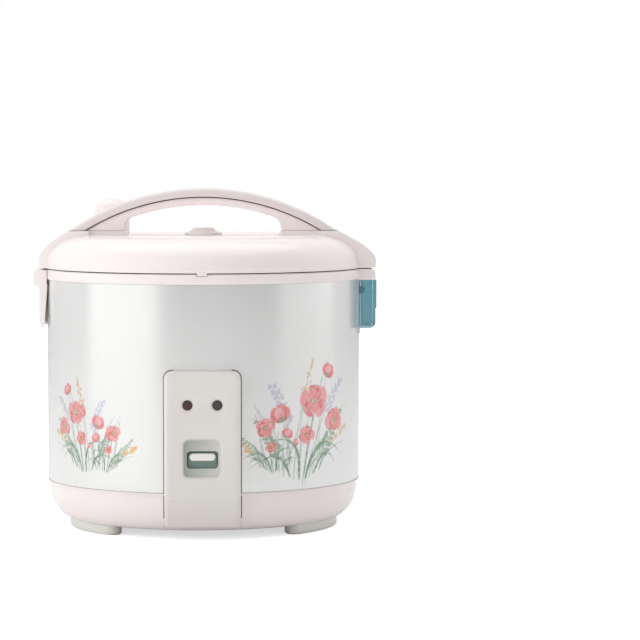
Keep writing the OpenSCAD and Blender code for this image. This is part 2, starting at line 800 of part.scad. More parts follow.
module ear_hollow(out_x, seat_x, inner_x) {
    wall = 1.5;
    along_y(ear_w - 2 * wall) polygon(concat(
        [[out_x - 0.6 - wall, lid_z - 1]], ear_side(out_x, seat_x, wall),
        [[inner_x, seat_z - wall], [inner_x, lid_z - 1]]));
}

// Moulded cover: dome, a fairing over the latch and one over the hinge, and the locating tab
// Raised seat that carries one end of the handle's arch and flares out into the lid's top
module handle_plinth() {
    flare = 5;
    side = arch_w / 2 + 0.6;
    intersection() {
        along_y(2 * (side + flare)) polygon(concat(
            [[finger_half - flare, lid_top - 1]],
            quad([finger_half - flare, lid_top], [finger_half - 0.5, lid_top], [finger_half, seat_z], 5),
            [[lid_flat_r + 4, seat_z], [lid_flat_r + 4, lid_top - 1]]));
        along_x(3 * lid_flat_r) polygon(concat(
            [[-side - flare, lid_top - 1]],
            quad([-side - flare, lid_top], [-side - 0.5, lid_top], [-side, seat_z], 5),
            quad([side, seat_z], [side + 0.5, lid_top], [side + flare, lid_top], 5),
            [[side + flare, lid_top - 1]]));
    }
}

module lid_cover() {
    seat_in = lid_flat_r - 1;
    seat_out = lid_flat_r + 16;
    tab_w = 8;
    color(lid_color) {
        difference() {
            union() {
                dome(0);
                mirror([1, 0, 0]) ear(latch_ear_x, seat_out, seat_in);
                ear(hinge_ear_x, seat_out + 1, seat_in);
                for (turn = [0, 180]) rotate(turn) handle_plinth();
            }
            dome(lid_wall);
            mirror([1, 0, 0]) ear_hollow(latch_ear_x, seat_out, seat_in + 8);
            ear_hollow(hinge_ear_x, seat_out + 1, seat_in + 8);
            translate([vent_x, vent_y, lid_z]) cylinder(r = vent_r - 2, h = lid_h + 1);
            cylinder(r = 3, h = lid_top + 1);
        }
        intersection() {
            translate([-tab_w / 2, -ring_r - 0.4, ring_top - 1.4]) cube([tab_w, 2, 3]);
            cylinder(r = ring_r + 0.4, h = lid_top);
        }
    }
}

// Outline of the finger opening: part of a ring under the arch, with round ends
module finger_outline() {
    end_x = finger_half - finger_r;
    end_z = arc_z + sqrt(pow(under_r - finger_r, 2) - end_x * end_x);
    reach = 1.4;
    intersection() {
        translate([0, arc_z]) circle(under_r);
        polygon([[0, arc_z], [-end_x * reach, arc_z + (end_z - arc_z) * reach],
            [end_x * reach, arc_z + (end_z - arc_z) * reach]]);
    }
    for (s = [-1, 1]) translate([s * end_x, end_z]) circle(finger_r);
    translate([-finger_half, arc_z]) square([2 * finger_half, end_z - arc_z]);
}

// Lower half of the handle: two legs on the lid and the arch between them
module handle_arch() {
    color("#efdcdc") along_y(arch_w) difference() {
        intersection() {
            translate([0, arc_z]) circle(seam_r);
            translate([-seam_r, seat_z]) square([2 * seam_r, seam_rise]);
        }
        finger_outline();
    }
}

// Cross-section of the grip, by distance from the arc's centre and across
module grip_section() {
    half = grip_w / 2;
    crown = handle_t * 0.55;
    polygon(concat(
        [[seam_r, -half + 1], [seam_r, half - 1], [seam_r + 1, half]],
        [for (a = [0:15:90])
            [grip_r - crown + crown * sin(a), half - 7 + 7 * cos(a)]],
        [for (a = [90:-15:0])
            [grip_r - crown + crown * sin(a), -half + 7 - 7 * cos(a)]],
        [[seam_r + 1, -half]]));
}

module handle_grip() {
    color(grip_color) intersection() {
        translate([0, 0, arc_z]) rotate([90, 0, 0]) rotate([0, 0, 40])
            rotate_extrude(angle = 100) grip_section();
        translate([-grip_r, -grip_w, seat_z]) cube([2 * grip_r, 2 * grip_w, seam_rise + handle_t + 5]);
    }
}

// Moulded ring that closes the lid from below, between the cover and the metal plate
module lid_liner() {
    out_r = ring_r + 0.4 - lid_wall - 0.1;
    color(lid_color) difference() {
        rotate_extrude() polygon([
            [pot_r - 4, liner_z + 3.2], [pot_r + 12, liner_z + 3.2], [pot_r + 18, lid_z + 0.6],
            [out_r - 1.5, lid_z + 0.6], [out_r - 1.5, lid_z + 2.6], [pot_r + 19, lid_z + 2.6],
            [pot_r + 13, liner_z + 5.2], [pot_r - 4, liner_z + 5.2]]);
        translate([-catch_x - 20, 0, lid_z]) cube([40, 26, 40], center = true);
        translate([hinge_x, 0, lid_z]) cube([47, 2 * leaf_half + 2, 40], center = true);
        translate([vent_x, vent_y, lid_z]) cylinder(r = vent_r - 2.1, h = lid_h);
    }
}

module lid_plate() {
    top = liner_z + 3.2;
    color(steel_color) difference() {
        rotate_extrude() polygon([
            [0, top - 1], [pot_r + 8, top - 1], [pot_r + 8, top], [0, top]]);
        translate([vent_x, vent_y, top - 3]) cylinder(r = vent_r - 3.9, h = 6);
    }
}

// Cord heater laid as a ring on the metal plate
module lid_heater() {
    color("#c7b48a") translate([0, 0, liner_z + 3.2]) rotate_extrude()
        translate([pot_r - 40, 0]) difference() {
            translate([0, 1.2]) circle(1.6);
            translate([-5, -5]) square([10, 5]);
        }
}

module inner_lid() {
    rim = pot_rim_top + 1.6;
    color("#c9ccce") difference() {
        rotate_extrude() polygon([
            [5.5, rim + 1.6], [pot_r - 26, rim + 1.6], [pot_r - 18, rim], [pot_r - 3, rim],
            [pot_r - 3, rim + 0.8], [pot_r - 17.6, rim + 0.8], [pot_r - 25.6, rim + 2.4],
            [5.5, rim + 2.4]]);
        for (a = [0:60:300]) rotate(a) translate([40, 0, rim]) cylinder(r = 2.5, h = 5);
    }
}

// Rubber ring that holds the inner lid's edge and seals on the pot's flange
module inner_lid_gasket() {
    rim = pot_rim_top + 1.6;
    color("#d9d6d2") rotate_extrude() polygon([
        [pot_r - 6, rim - 0.9], [pot_r - 3, rim - 0.9], [pot_r + 3, pot_rim_top + pot_gap],
        [pot_r + 5.5, pot_rim_top + pot_gap], [pot_r + 5.5, pot_rim_top + pot_gap + 0.9],
        [pot_r + 1, rim + 1.8], [pot_r - 6, rim + 1.8], [pot_r - 6, rim + 0.8],
        [pot_r - 3, rim + 0.8], [pot_r - 3, rim], [pot_r - 6, rim]]);
}

// Soft bush on the lid's stud that holds the inner lid
module inner_lid_grommet() {
    rim = pot_rim_top + 1.6;
    color("#d9d6d2") rotate_extrude() polygon([
        [0, rim - 2], [8, rim - 2], [9, rim], [9, rim + 1.6], [5.5, rim + 1.6], [5.5, rim + 2.4],
        [8, rim + 2.4], [8, liner_z + 2.2], [0, liner_z + 2.2]]);
}

module centre_cap() {
    color(lid_color) translate([0, 0, lid_top]) rotate_extrude() polygon(concat(
        [[0, 0], [knob_r, 0], [knob_r, 1.2]],
        quad([knob_r - 0.8, 2], [knob_r - 5, 2.6], [knob_r - 6.6, knob_h - 0.8], 5),
        [[knob_r - 8, knob_h], [0, knob_h]]));
}

// Strip in the latch fairing that the hook reaches over
module hook_catch() {
    sheet = 1.5;
    low = lid_z + 0.9;
    top = liner_z + 5.2;
    color(steel_color) along_y(20) polygon([
        [-ring_r + 1.8, low], [-catch_x, low], [-catch_x, top], [-catch_x + 9, top],
        [-catch_x + 9, top + sheet], [-catch_x - sheet, top + sheet],
        [-catch_x - sheet, low + sheet], [-ring_r + 1.8, low + sheet]]);
}

// Hinge leaf: two knuckles round the pin and the plate that carries the lid
module hinge_leaf() {
    plate_z = lid_z + 3;
    inner = 5;
    leaf_w = leaf_half - inner;
    color(steel_color) difference() {
        union() {
            for (s = [-1, 1]) translate([0, s * (inner + leaf_w / 2), 0]) along_y(leaf_w) {
                translate([hinge_x, hinge_z]) circle(knuckle_r);
                polygon([[hinge_x - knuckle_r, hinge_z], [hinge_x, hinge_z], [hinge_x, plate_z + 2],
                    [hinge_x - knuckle_r - 6, plate_z + 2], [hinge_x - knuckle_r - 6, plate_z],
                    [hinge_x - knuckle_r, plate_z - 2]]);
            }
            translate([pot_r + 19, -leaf_half, plate_z])
                cube([hinge_x - knuckle_r - pot_r - 19, 2 * leaf_half, 2]);
        }
        translate([hinge_x, 0, hinge_z]) rod_y(hinge_pin_r + pin_fit, ear_w);
        for (s = [-1, 1]) translate([ring_r - 5, s * 8, lid_z]) cylinder(r = 1, h = 10);
    }
}

module lid_screws() {
    top = lid_z + 3 + 2;
    color(steel_color) for (s = [-1, 1]) translate([ring_r - 5, s * 8, top]) {
        cylinder(r = 3, h = 1.8);
        translate([0, 0, -1]) cylinder(r = 0.9, h = 1.5);
    }
}

// Tube from the inner space up through the cover, with a collar on the lid
module vent_tube() {
    low = liner_z + 3.2 - 4;
    color(lid_color) translate([vent_x, vent_y, 0]) rotate_extrude() polygon([
        [vent_r - 5.5, low], [vent_r - 4, low], [vent_r - 4, liner_z + 3.2],
        [vent_r - 2.2, liner_z + 3.2], [vent_r - 2.2, lid_top], [vent_r, lid_top],
        [vent_r, lid_top + 12], [vent_r - 1.5, lid_top + 13], [vent_r - 5.5, lid_top + 13]]);
}

module vent_gasket() {
    low = liner_z + 2.2 - 1.2;
    color("#d9d6d2") translate([vent_x, vent_y, low]) tube(vent_r - 2.4, vent_r - 4, 1.2);
}

// Domed cap with steam slots in its skirt and a baffle ring inside
module steam_cap() {
    skirt_h = cap_h - cap_r * 0.8;
    wall = 1.8;
    slot_r = cap_r - wall / 2;
    outside = [for (a = [0:10:90]) [cap_r * cos(a), skirt_h + cap_r * 0.8 * sin(a)]];
    inside = [for (a = [0:10:90])
        [(cap_r - wall) * cos(a), skirt_h + (cap_r * 0.8 - wall) * sin(a)]];
    color(lid_color) translate([vent_x, vent_y, lid_top]) difference() {
        rotate_extrude() {
            polygon(concat([[cap_r - wall, 0], [cap_r - 0.6, 0], [cap_r, 0.8]], outside, reversed(inside)));
            translate([vent_r + pin_fit + 0.3, 4])
                square([cap_r - vent_r - pin_fit - 0.3 - wall / 2, 2]);
        }
        for (a = [40:25:140]) rotate(a) translate([slot_r, 0, skirt_h])
            cube([2 * wall + 1, 2.4, 6], center = true);
    }
}

// Outline of the latch lever in X and Z on the +X side, before it is mirrored
module lever_outline(wall) {
    block_bottom = ring_top - 14.5;
    low = ring_top - 0.6 - latch_len;
    plate_x = latch_ear_x - 0.4;
    inner_x = ring_r - 6;
    polygon([
        [inner_x, ring_top - 0.6 - wall], [latch_out_x - 2 - wall, ring_top - 0.6 - wall],
        [latch_out_x - 0.6 - wall, ring_top - 2.5 - wall],
        [latch_out_x - wall, block_bottom + 4], [latch_out_x - wall, block_bottom + 3],
        [latch_out_x - 1.5 - wall, block_bottom + 0.8 + wall],
        [plate_x - wall, block_bottom - 1 + wall],
        [plate_x - wall, low + 6], [plate_x - 1 - wall, low + 2.5],
        [plate_x - 3 - wall / 2, low + 0.4 + wall], [inner_x, low + wall]]);
}

// Hook that rises past the ring into the latch fairing
module latch_hook() {
    hook_x = ring_r + 0.5;
    hook_t = 1.3;
    hook_reach = 2.6;
    tip_z = lid_z + 5;
    along_y(16) polygon([
        [hook_x, ring_top - 4], [hook_x + hook_t, ring_top - 4], [hook_x + hook_t, tip_z],
        [hook_x, tip_z], [ring_r - hook_reach, tip_z - 1.5], [ring_r - hook_reach, tip_z - 2.1],
        [hook_x, tip_z - 2.1]]);
}

module hook_lever() {
    wall = 2;
    // The lower end swings in by this much, so its inside leans away from the shell
    swing_low = ring_top - latch_len - 5;
    swing_top = latch_z - 4;
    swing_room = (latch_z - swing_low) * sin(latch_press) + 0.2;
    rib_in = ear_w / 2 - 4.5;
    color(lid_color) mirror([1, 0, 0]) difference() {
        union() {
            difference() {
                along_y(ear_w) lever_outline(0);
                along_y(ear_w - 2 * wall) lever_outline(wall);
                rotate_extrude() polygon([
                    [0, swing_low], [shell_r + swing_room, swing_low], [shell_r + 0.9, swing_top],
                    [ring_r + 0.5, swing_top], [ring_r + 0.5, ring_top + 5], [0, ring_top + 5]]);
            }
            for (s = [-1, 1]) translate([latch_pin_x, s * (rib_in + 1.6), latch_z])
                rod_y(latch_pin_r + 1.7, 3.2);
            translate([ring_r + 0.5, -8, ring_top - 4]) cube([7, 16, 2]);
            latch_hook();
        }
        translate([latch_pin_x, 0, latch_z]) rod_y(latch_pin_r + pin_fit, 2 * rib_in + 5);
    }
}

// Pulls off the holder; open at the top, curved to the shell behind
module dew_collector() {
    back_r = shell_r + holder_t + move_gap;
    half = ear_half;
    corner = 5;
    step_h = 17;
    inside_x = dew_out_x - dew_wall;
    color(dew_color) difference() {
        intersection() {
            along_y(2 * half) {
                translate([shell_r - 6, dew_z + corner])
                    square([dew_out_x - shell_r + 6 - 1, dew_h - corner]);
                translate([shell_r - 6, dew_z]) square([dew_out_x - shell_r + 5 - corner, corner + 1]);
                translate([dew_out_x - 1 - corner, dew_z + corner]) circle(corner);
                translate([shell_r - 6, dew_z + step_h])
                    square([dew_out_x - shell_r + 6, dew_h - step_h]);
            }
            translate([0, 0, dew_z]) linear_extrude(dew_h) {
                translate([0, -half]) square([dew_out_x - 4, 2 * half]);
                translate([0, 4 - half]) square([dew_out_x, 2 * half - 8]);
                for (s = [-1, 1]) translate([dew_out_x - 4, s * (half - 4)]) circle(4);
            }
        }
        translate([0, 0, dew_z - 1]) cylinder(r = back_r, h = dew_h + 2);
        difference() {
            translate([0, 0, dew_z + dew_wall + 0.4]) linear_extrude(dew_h) {
                translate([0, dew_wall - half]) square([inside_x - 4, 2 * (half - dew_wall)]);
                translate([0, 4 - half]) square([inside_x, 2 * half - 8]);
                for (s = [-1, 1]) translate([inside_x - 4, s * (half - 4)])
                    circle(4 - dew_wall);
            }
            translate([0, 0, dew_z]) cylinder(r = back_r + dew_wall, h = dew_h + 2);
        }
        for (s = [-1, 1]) translate([back_r, s * 12, dew_top - 9.6])
            cube([12, 8 + 2 * move_gap, 4 + 2 * move_gap], center = true);
    }
}

// Thin curved plate on the shell with the two tongues that carry the collector
module collector_holder() {
    low = dew_z - 5;
    span = 2 * asin(ear_half / shell_r);
    color("#dfe6e6") {
        translate([0, 0, low]) rotate([0, 0, -span / 2]) rotate_extrude(angle = span)
            translate([shell_r, 0]) square([holder_t, dew_top - low]);
        difference() {
            for (s = [-1, 1]) translate([shell_r - 2, s * 12 - 4, dew_top - 11.6])
                cube([2 + holder_t + tongue_l, 8, 4]);
            translate([0, 0, low]) cylinder(r = shell_r + holder_t / 2, h = dew_h + 10);
        }
    }
}

module hinge_pin() {
    color(steel_color) translate([hinge_x, 0, hinge_z]) rod_y(hinge_pin_r, ear_w - 4);
}

module hinge_spring() {
    color(steel_color) translate([hinge_x, 4, hinge_z]) rotate([90, 0, 0])
        coil(hinge_pin_r + 0.8, 0.5, 8, 6);
}

module latch_pin() {
    color(steel_color) translate([-latch_pin_x, 0, latch_z]) rod_y(latch_pin_r, ear_w - 4);
}

module latch_spring() {
    color(steel_color) translate([-latch_pin_x, 6, latch_z]) rotate([90, 0, 0])
        coil(latch_pin_r + 0.7, 0.4, 12, 8);
}

// White key in front of its shutter
module switch_key() {
    color(lid_color) {
        translate([0, key_face_y, key_z]) rotate([-90, 0, 0]) {
            translate([0, 0, 1]) linear_extrude(key_depth - 1) rounded_rect(key_w, key_h, key_h / 2 - 0.1);
            linear_extrude(1) rounded_rect(key_w - 1, key_h - 1, key_h / 2 - 0.6);
        }
    }
}

// Plate that closes the slot behind the key, with the leg that pushes the lever down
module key_shutter() {
    plate_h = slot_h + 1.6;
    low = key_z - 1.5 - plate_h / 2;
    leg_y = -(shell_r - shell_t - spigot_fit - base_wall) + 0.8;
    foot_z = lever_top + 0.55;
    strip_y = shutter_y + shutter_t / 2;
    color(dark_color) {
        translate([-slot_w / 2 + 0.6, shutter_y, low]) cube([slot_w - 1.2, shutter_t, plate_h]);
        along_x(key_foot_w) polygon([
            [strip_y, low], [leg_y, low], [leg_y, foot_z],
            [-lever_pivot_y - lever_reach + 3, foot_z], [-lever_pivot_y - lever_reach + 3, foot_z + 1.5],
            [leg_y + 1.2, foot_z + 1.5], [leg_y + 1.2, low + 1.5], [strip_y, low + 1.5]]);
    }
}

// Sheet strip with its pivot barrel, a pad under the key's foot and the tail under the magnet
module switch_arm() {
    front_y = -lever_pivot_y - lever_reach - 1.5;
    pz = lever_pivot_z;
    color(steel_color) difference() {
        union() {
            along_x(lever_w) polygon([
                [front_y, pz - lever_t / 2 - 2], [front_y + 1.2, pz - lever_t / 2 - 2],
                [front_y + 1.8, pz - lever_t / 2], [lever_end_y, pz - lever_t / 2],
                [lever_end_y, pz + lever_t / 2], [front_y, pz + lever_t / 2]]);
            translate([0, -lever_pivot_y, pz]) rod_x(lever_pin_r + 1.5, lever_w);
        }
        translate([0, -lever_pivot_y, pz]) rod_x(lever_pin_r + pin_fit, lever_w + 2);
    }
}

module magnet_holder() {
    color(steel_color) difference() {
        union() {
            translate([0, 0, holder_floor])
                cylinder(r = magnet_r + holder_wall, h = magnet_top - holder_floor - 1);
            translate([0, 0, boss_bottom]) cylinder(r = 3, h = holder_floor - boss_bottom + 0.5);
        }
        translate([0, 0, holder_floor + holder_wall]) cylinder(r = magnet_r, h = 20);
    }
}

module magnet() {
    color(dark_color) translate([0, 0, holder_floor + holder_wall])
        cylinder(r = magnet_r, h = magnet_top - holder_floor - holder_wall);
}

// Spring-loaded cap that feels the pot, with the stem that the magnet catches
module thermostat_sensor() {
    color(steel_color) {
        rotate_extrude() polygon([
            [0, sensor_cap_top - 1.2], [sensor_r - 1, sensor_cap_top - 1.2],
            [sensor_r - 1, plate_bottom + 4], [sensor_r, plate_bottom + 4],
            [sensor_r, sensor_cap_top - 1.5], [sensor_r - 1.5, sensor_cap_top], [0, sensor_cap_top]]);
        translate([0, 0, sensor_stem_bottom])
            cylinder(r = sensor_r - 3.8, h = sensor_cap_top - 1 - sensor_stem_bottom);
    }
}

outer_shell();
upper_ring();
base_tray();
bottom_plate();
foot_front_left();
foot_front_right();
foot_rear_left();
foot_rear_right();
control_panel();
cook_lamp_lens();
warm_lamp_lens();
lamp_board();
key_guide();
inner_can();
can_supports();
side_heater();
heating_plate();
heater_terminals();
sensor_spring();
switch_bracket();
lever_pin();
microswitch();
thermal_fuse();
inlet_socket();
inlet_pins();
collector_holder();
hinge_pin();
hinge_spring();
latch_pin();
latch_spring();
case_screws();
inner_pot();
pot_rim();
lid_cover();
handle_arch();
handle_grip();
lid_liner();
lid_plate();
lid_heater();
inner_lid();
inner_lid_gasket();
inner_lid_grommet();
centre_cap();
hook_catch();
hinge_leaf();
lid_screws();
vent_tube();
vent_gasket();
steam_cap();
hook_lever();
dew_collector();
switch_key();
key_shutter();
switch_arm();
magnet_holder();
magnet();
thermostat_sensor();
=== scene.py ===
import json
import math
import random
from contextlib import contextmanager

import bmesh
import bpy
import numpy as np
from mathutils import Matrix, Vector
from mathutils.bvhtree import BVHTree

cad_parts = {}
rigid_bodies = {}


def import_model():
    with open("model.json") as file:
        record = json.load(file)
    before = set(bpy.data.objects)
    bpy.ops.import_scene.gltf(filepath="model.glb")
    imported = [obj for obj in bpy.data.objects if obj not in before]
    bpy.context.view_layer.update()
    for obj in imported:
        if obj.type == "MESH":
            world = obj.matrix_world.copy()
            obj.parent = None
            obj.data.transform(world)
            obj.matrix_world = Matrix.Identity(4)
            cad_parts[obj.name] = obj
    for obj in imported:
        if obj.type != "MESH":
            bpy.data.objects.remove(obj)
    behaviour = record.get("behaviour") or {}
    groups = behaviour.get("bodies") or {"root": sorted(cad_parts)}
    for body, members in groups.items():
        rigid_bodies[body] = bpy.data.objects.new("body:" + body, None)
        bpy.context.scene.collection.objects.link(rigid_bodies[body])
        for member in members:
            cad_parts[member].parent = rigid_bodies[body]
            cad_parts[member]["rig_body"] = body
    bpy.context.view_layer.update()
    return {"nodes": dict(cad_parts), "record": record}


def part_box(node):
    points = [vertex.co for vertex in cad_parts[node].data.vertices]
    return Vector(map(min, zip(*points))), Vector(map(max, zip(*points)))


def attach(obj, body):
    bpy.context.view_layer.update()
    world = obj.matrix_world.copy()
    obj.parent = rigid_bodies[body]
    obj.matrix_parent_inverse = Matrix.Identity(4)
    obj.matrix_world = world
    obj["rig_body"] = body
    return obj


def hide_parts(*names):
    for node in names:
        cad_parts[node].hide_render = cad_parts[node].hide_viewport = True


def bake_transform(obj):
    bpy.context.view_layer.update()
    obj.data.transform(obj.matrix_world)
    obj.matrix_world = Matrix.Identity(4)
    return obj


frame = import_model()
mm = 0.001
print("frame loaded:", len(frame["nodes"]), "nodes")

# sizes shared by several pieces, read from the frame
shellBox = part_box("outer_shell")
shellRadius = shellBox[1].x
shellLow = shellBox[0].z
shellHigh = shellBox[1].z
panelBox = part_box("control_panel")


def newMaterial(name):
    material = bpy.data.materials.new(name)
    material.use_nodes = True
    tree = material.node_tree
    tree.nodes.clear()
    shader = tree.nodes.new("ShaderNodeBsdfPrincipled")
    output = tree.nodes.new("ShaderNodeOutputMaterial")
    tree.links.new(shader.outputs["BSDF"], output.inputs["Surface"])
    return material, tree, shader


def wire(tree, node, values):
    # links what is a socket and sets what is a plain value
    for key, value in values.items():
        if isinstance(value, bpy.types.NodeSocket):
            tree.links.new(value, node.inputs[key])
        else:
            node.inputs[key].default_value = value
    return node


def addNode(tree, kind, inputs=None, **settings):
    node = tree.nodes.new(kind)
    for key, value in settings.items():
        setattr(node, key, value)
    return wire(tree, node, inputs or {})


def maths(tree, operation, *values):
    return addNode(tree, "ShaderNodeMath", dict(enumerate(values)), operation=operation).outputs[0]


def span(tree, value, fromRange, toRange, **settings):
    return addNode(tree, "ShaderNodeMapRange", {
        "Value": value, "From Min": fromRange[0], "From Max": fromRange[1],
        "To Min": toRange[0], "To Max": toRange[1]}, **settings).outputs["Result"]


surface = {
    "noise": (0.3, 0.7),                 # between these the noise mostly lies
    "bump": 0.0002,                      # height of the finest grain, in m
    "cloud": 14, "wear": 60,             # scale of a plastic's patches of tint and of gloss
    "scatter": (0.004, 0.003, 0.002),    # how deep light goes into a plastic, in m
    "metalShade": 0.86,                  # share of a metal's colour in its darker grain
    "clearCloud": 35, "clearWear": 120, "clearGrain": 500, "clearIndex": 1.3,
}


def noise(tree, scale, detail=2, stretch=(1, 1, 1)):
    coords = addNode(tree, "ShaderNodeTexCoord")
    place = addNode(tree, "ShaderNodeMapping", {"Vector": coords.outputs["Object"], "Scale": stretch})
    return addNode(tree, "ShaderNodeTexNoise", {
        "Vector": place.outputs["Vector"], "Scale": scale, "Detail": detail}).outputs["Fac"]


def twoColours(tree, factor, first, second, **settings):
    first, second = (c if isinstance(c, bpy.types.NodeSocket) else (*c, 1) for c in (first, second))
    return addNode(tree, "ShaderNodeMix", {"Factor": factor, 6: first, 7: second},
                   data_type="RGBA", **settings).outputs[2]


def bump(tree, height, strength=0.03):
    return addNode(tree, "ShaderNodeBump", {
        "Height": height, "Strength": strength, "Distance": surface["bump"]}).outputs["Normal"]


def plastic(name, colour, shade, rough=(0.18, 0.28), grain=900, depth=0.03, scatter=0.0):
    material, tree, shader = newMaterial(name)
    wire(tree, shader, {
        "Base Color": twoColours(tree, noise(tree, surface["cloud"]), shade, colour),
        "Roughness": span(tree, noise(tree, surface["wear"], 4), surface["noise"], rough),
        "Normal": bump(tree, noise(tree, grain), depth),
        "Subsurface Weight": scatter, "Subsurface Radius": surface["scatter"]})
    return material


def metal(name, colour, rough=(0.25, 0.4), stretch=(1, 1, 1), scale=300, depth=0.05, metallic=1.0):
    material, tree, shader = newMaterial(name)
    grain = noise(tree, scale, 4, stretch)
    dark = tuple(c * surface["metalShade"] for c in colour)
    wire(tree, shader, {
        "Base Color": twoColours(tree, grain, dark, colour),
        "Roughness": span(tree, grain, surface["noise"], rough),
        "Normal": bump(tree, grain, depth), "Metallic": metallic})
    return material


def clearPlastic(name, colour, shade, rough, transmission):
    material, tree, shader = newMaterial(name)
    wire(tree, shader, {
        "Base Color": twoColours(tree, noise(tree, surface["clearCloud"]), shade, colour),
        "Roughness": span(tree, noise(tree, surface["clearWear"], 3), surface["noise"], rough),
        "Normal": bump(tree, noise(tree, surface["clearGrain"])),
        "Transmission Weight": transmission, "IOR": surface["clearIndex"]})
    return material


panel = {
    "tint": (0.80, 0.77, 0.735), "shade": (0.785, 0.755, 0.72),
    # painted shade in the sunk recess round the key: a darker greenish colour where shade falls
    "recessPaintedShade": (0.36, 0.41, 0.365),
    "paintedShadeShare": (0.95, 0.25),            # share of that painted shade at the recess's left and right
    "paintedShadeDepth": (0.3, 2.6),             # it sets in between these depths, in mm
    "recess": 16.9, "slotLevel": 67.7,   # half side and middle height of the recess, in mm
}


def panelPlastic():
    # satin panel whose sunk recess has painted shade, darker most of all on its left
    material = plastic("warmGreySatin", panel["tint"], panel["shade"], (0.3, 0.4), 1400, 0.08)
    tree = material.node_tree
    shader = next(n for n in tree.nodes if n.type == "BSDF_PRINCIPLED")
    coords = addNode(tree, "ShaderNodeTexCoord")
    where = addNode(tree, "ShaderNodeSeparateXYZ", {"Vector": coords.outputs["Object"]})
    reach = panel["recess"] * mm
    depths = [panelBox[0].y + depth * mm for depth in panel["paintedShadeDepth"]]
    shadeAmount = span(tree, where.outputs["Y"], depths, (0, 1), interpolation_type="SMOOTHSTEP")
    for factor in (span(tree, where.outputs["X"], (-reach, reach), panel["paintedShadeShare"]),
                   maths(tree, "COMPARE", where.outputs["X"], 0, reach),
                   maths(tree, "COMPARE", where.outputs["Z"], panel["slotLevel"] * mm, reach)):
        shadeAmount = maths(tree, "MULTIPLY", shadeAmount, factor)
    base = shader.inputs["Base Color"].links[0].from_socket
    wire(tree, shader, {"Base Color": twoColours(tree, shadeAmount, base, panel["recessPaintedShade"])})
    return material


enamel = {"shade": (0.985, 0.985, 0.98), "cloud": 9, "rough": (0.21, 0.26), "streaks": (1, 1, 0.15),
          "wear": 220, "grain": 700, "metallic": 0.5}


def printedSheet():
    # satin enamel over the painted flowers, which sit in a colour attribute of the shell's own mesh
    material, tree, shader = newMaterial("printedEnamel")
    paint = addNode(tree, "ShaderNodeVertexColor", layer_name="print")
    veil = twoColours(tree, noise(tree, enamel["cloud"]), enamel["shade"], (1, 1, 1))
    streaks = noise(tree, enamel["wear"], 3, enamel["streaks"])
    wire(tree, shader, {
        "Base Color": twoColours(tree, 1.0, paint.outputs["Color"], veil, blend_type="MULTIPLY"),
        "Roughness": span(tree, streaks, surface["noise"], enamel["rough"]),
        "Normal": bump(tree, noise(tree, enamel["grain"])), "Metallic": enamel["metallic"]})
    return material


# colours as the shader takes them, then the lowest and highest roughness
finishes = {
    "printed_shell": printedSheet(),
    "white_plastic": plastic("blushWhiteGloss", (0.935, 0.87, 0.86), (0.92, 0.855, 0.845), (0.16, 0.24),
                             scatter=0.05),
    "panel_plastic": panelPlastic(),
    "arch_plastic": plastic("pinkishGloss", (0.975, 0.89, 0.89), (0.965, 0.875, 0.875), (0.2, 0.3)),
    "grip_plastic": plastic("greyPinkSatin", (0.83, 0.755, 0.75), (0.81, 0.735, 0.73), (0.3, 0.4),
                            1200, 0.08),
    "foot_plastic": plastic("paleFoot", (0.84, 0.835, 0.79), (0.81, 0.81, 0.765), (0.45, 0.6), 1000, 0.12),
    "dew_plastic": clearPlastic("tealClear", (0.36, 0.58, 0.64), (0.31, 0.52, 0.58), (0.112, 0.182), 0.8),
    "holder_plastic": plastic("paleHolder", (0.70, 0.76, 0.76), (0.67, 0.73, 0.73), (0.35, 0.5)),
    "red_lens": clearPlastic("redLens", (0.15, 0.075, 0.065), (0.12, 0.055, 0.05), (0.08, 0.13), 0.25),
    "grey_lens": clearPlastic("smokeLens", (0.115, 0.115, 0.10), (0.09, 0.095, 0.085), (0.08, 0.13), 0.25),
    "key_plastic": plastic("keyWhite", (0.92, 0.90, 0.88), (0.90, 0.88, 0.86), (0.15, 0.22)),
    "dark_plastic": plastic("darkTeal", (0.25, 0.36, 0.32), (0.21, 0.30, 0.27), (0.4, 0.55)),
    "circuit_board": plastic("boardGreen", (0.06, 0.14, 0.06), (0.04, 0.11, 0.05), (0.35, 0.5), 600, 0.2),
    "zinc_sheet": metal("zincSheet", (0.62, 0.63, 0.64), (0.32, 0.5), scale=45),
    "cast_aluminium": metal("castAluminium", (0.60, 0.61, 0.62), (0.4, 0.55), scale=260, depth=0.2),
    "lid_aluminium": metal("satinAluminium", (0.78, 0.78, 0.79), (0.25, 0.35), (1, 8, 1), 160),
    "pot_coating": metal("coatedPot", (0.32, 0.33, 0.35), (0.3, 0.42), (1, 1, 4), 140, 0.06, 0.8),
    "mica_band": plastic("micaBand", (0.52, 0.43, 0.26), (0.40, 0.32, 0.18), (0.5, 0.65), 200, 0.3),
    "brass": metal("brassBlade", (0.66, 0.47, 0.2), (0.2, 0.32), scale=200),
    "spring_steel": metal("brightSteel", (0.66, 0.67, 0.69), (0.15, 0.28), scale=400),
    "seam_shadow": plastic("seamShadow", (0.075, 0.062, 0.062), (0.06, 0.05, 0.05), (0.5, 0.65)),
    "seam_pale": plastic("seamPale", (0.46, 0.41, 0.41), (0.42, 0.37, 0.37), (0.5, 0.65)),
    "lamp_rim": plastic("lampRim", (0.035, 0.03, 0.028), (0.028, 0.024, 0.022), (0.35, 0.5)),
    "silicone": plastic("paleSilicone", (0.74, 0.72, 0.70), (0.71, 0.69, 0.67), (0.5, 0.62), 800, 0.1, 0.1),
}
slotOf = {s["node"]: s["material_slot"] for s in frame["record"]["subparts"]}
for nodeName, nodeObject in frame["nodes"].items():
    nodeObject.data.materials.clear()
    nodeObject.data.materials.append(finishes[slotOf[nodeName]])
print("materials:", len(finishes))


def link(obj):
    bpy.context.scene.collection.objects.link(obj)
    return obj


def finished(obj, body, replaced=()):
    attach(obj, body)
    if replaced:
        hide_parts(*replaced)
    return obj


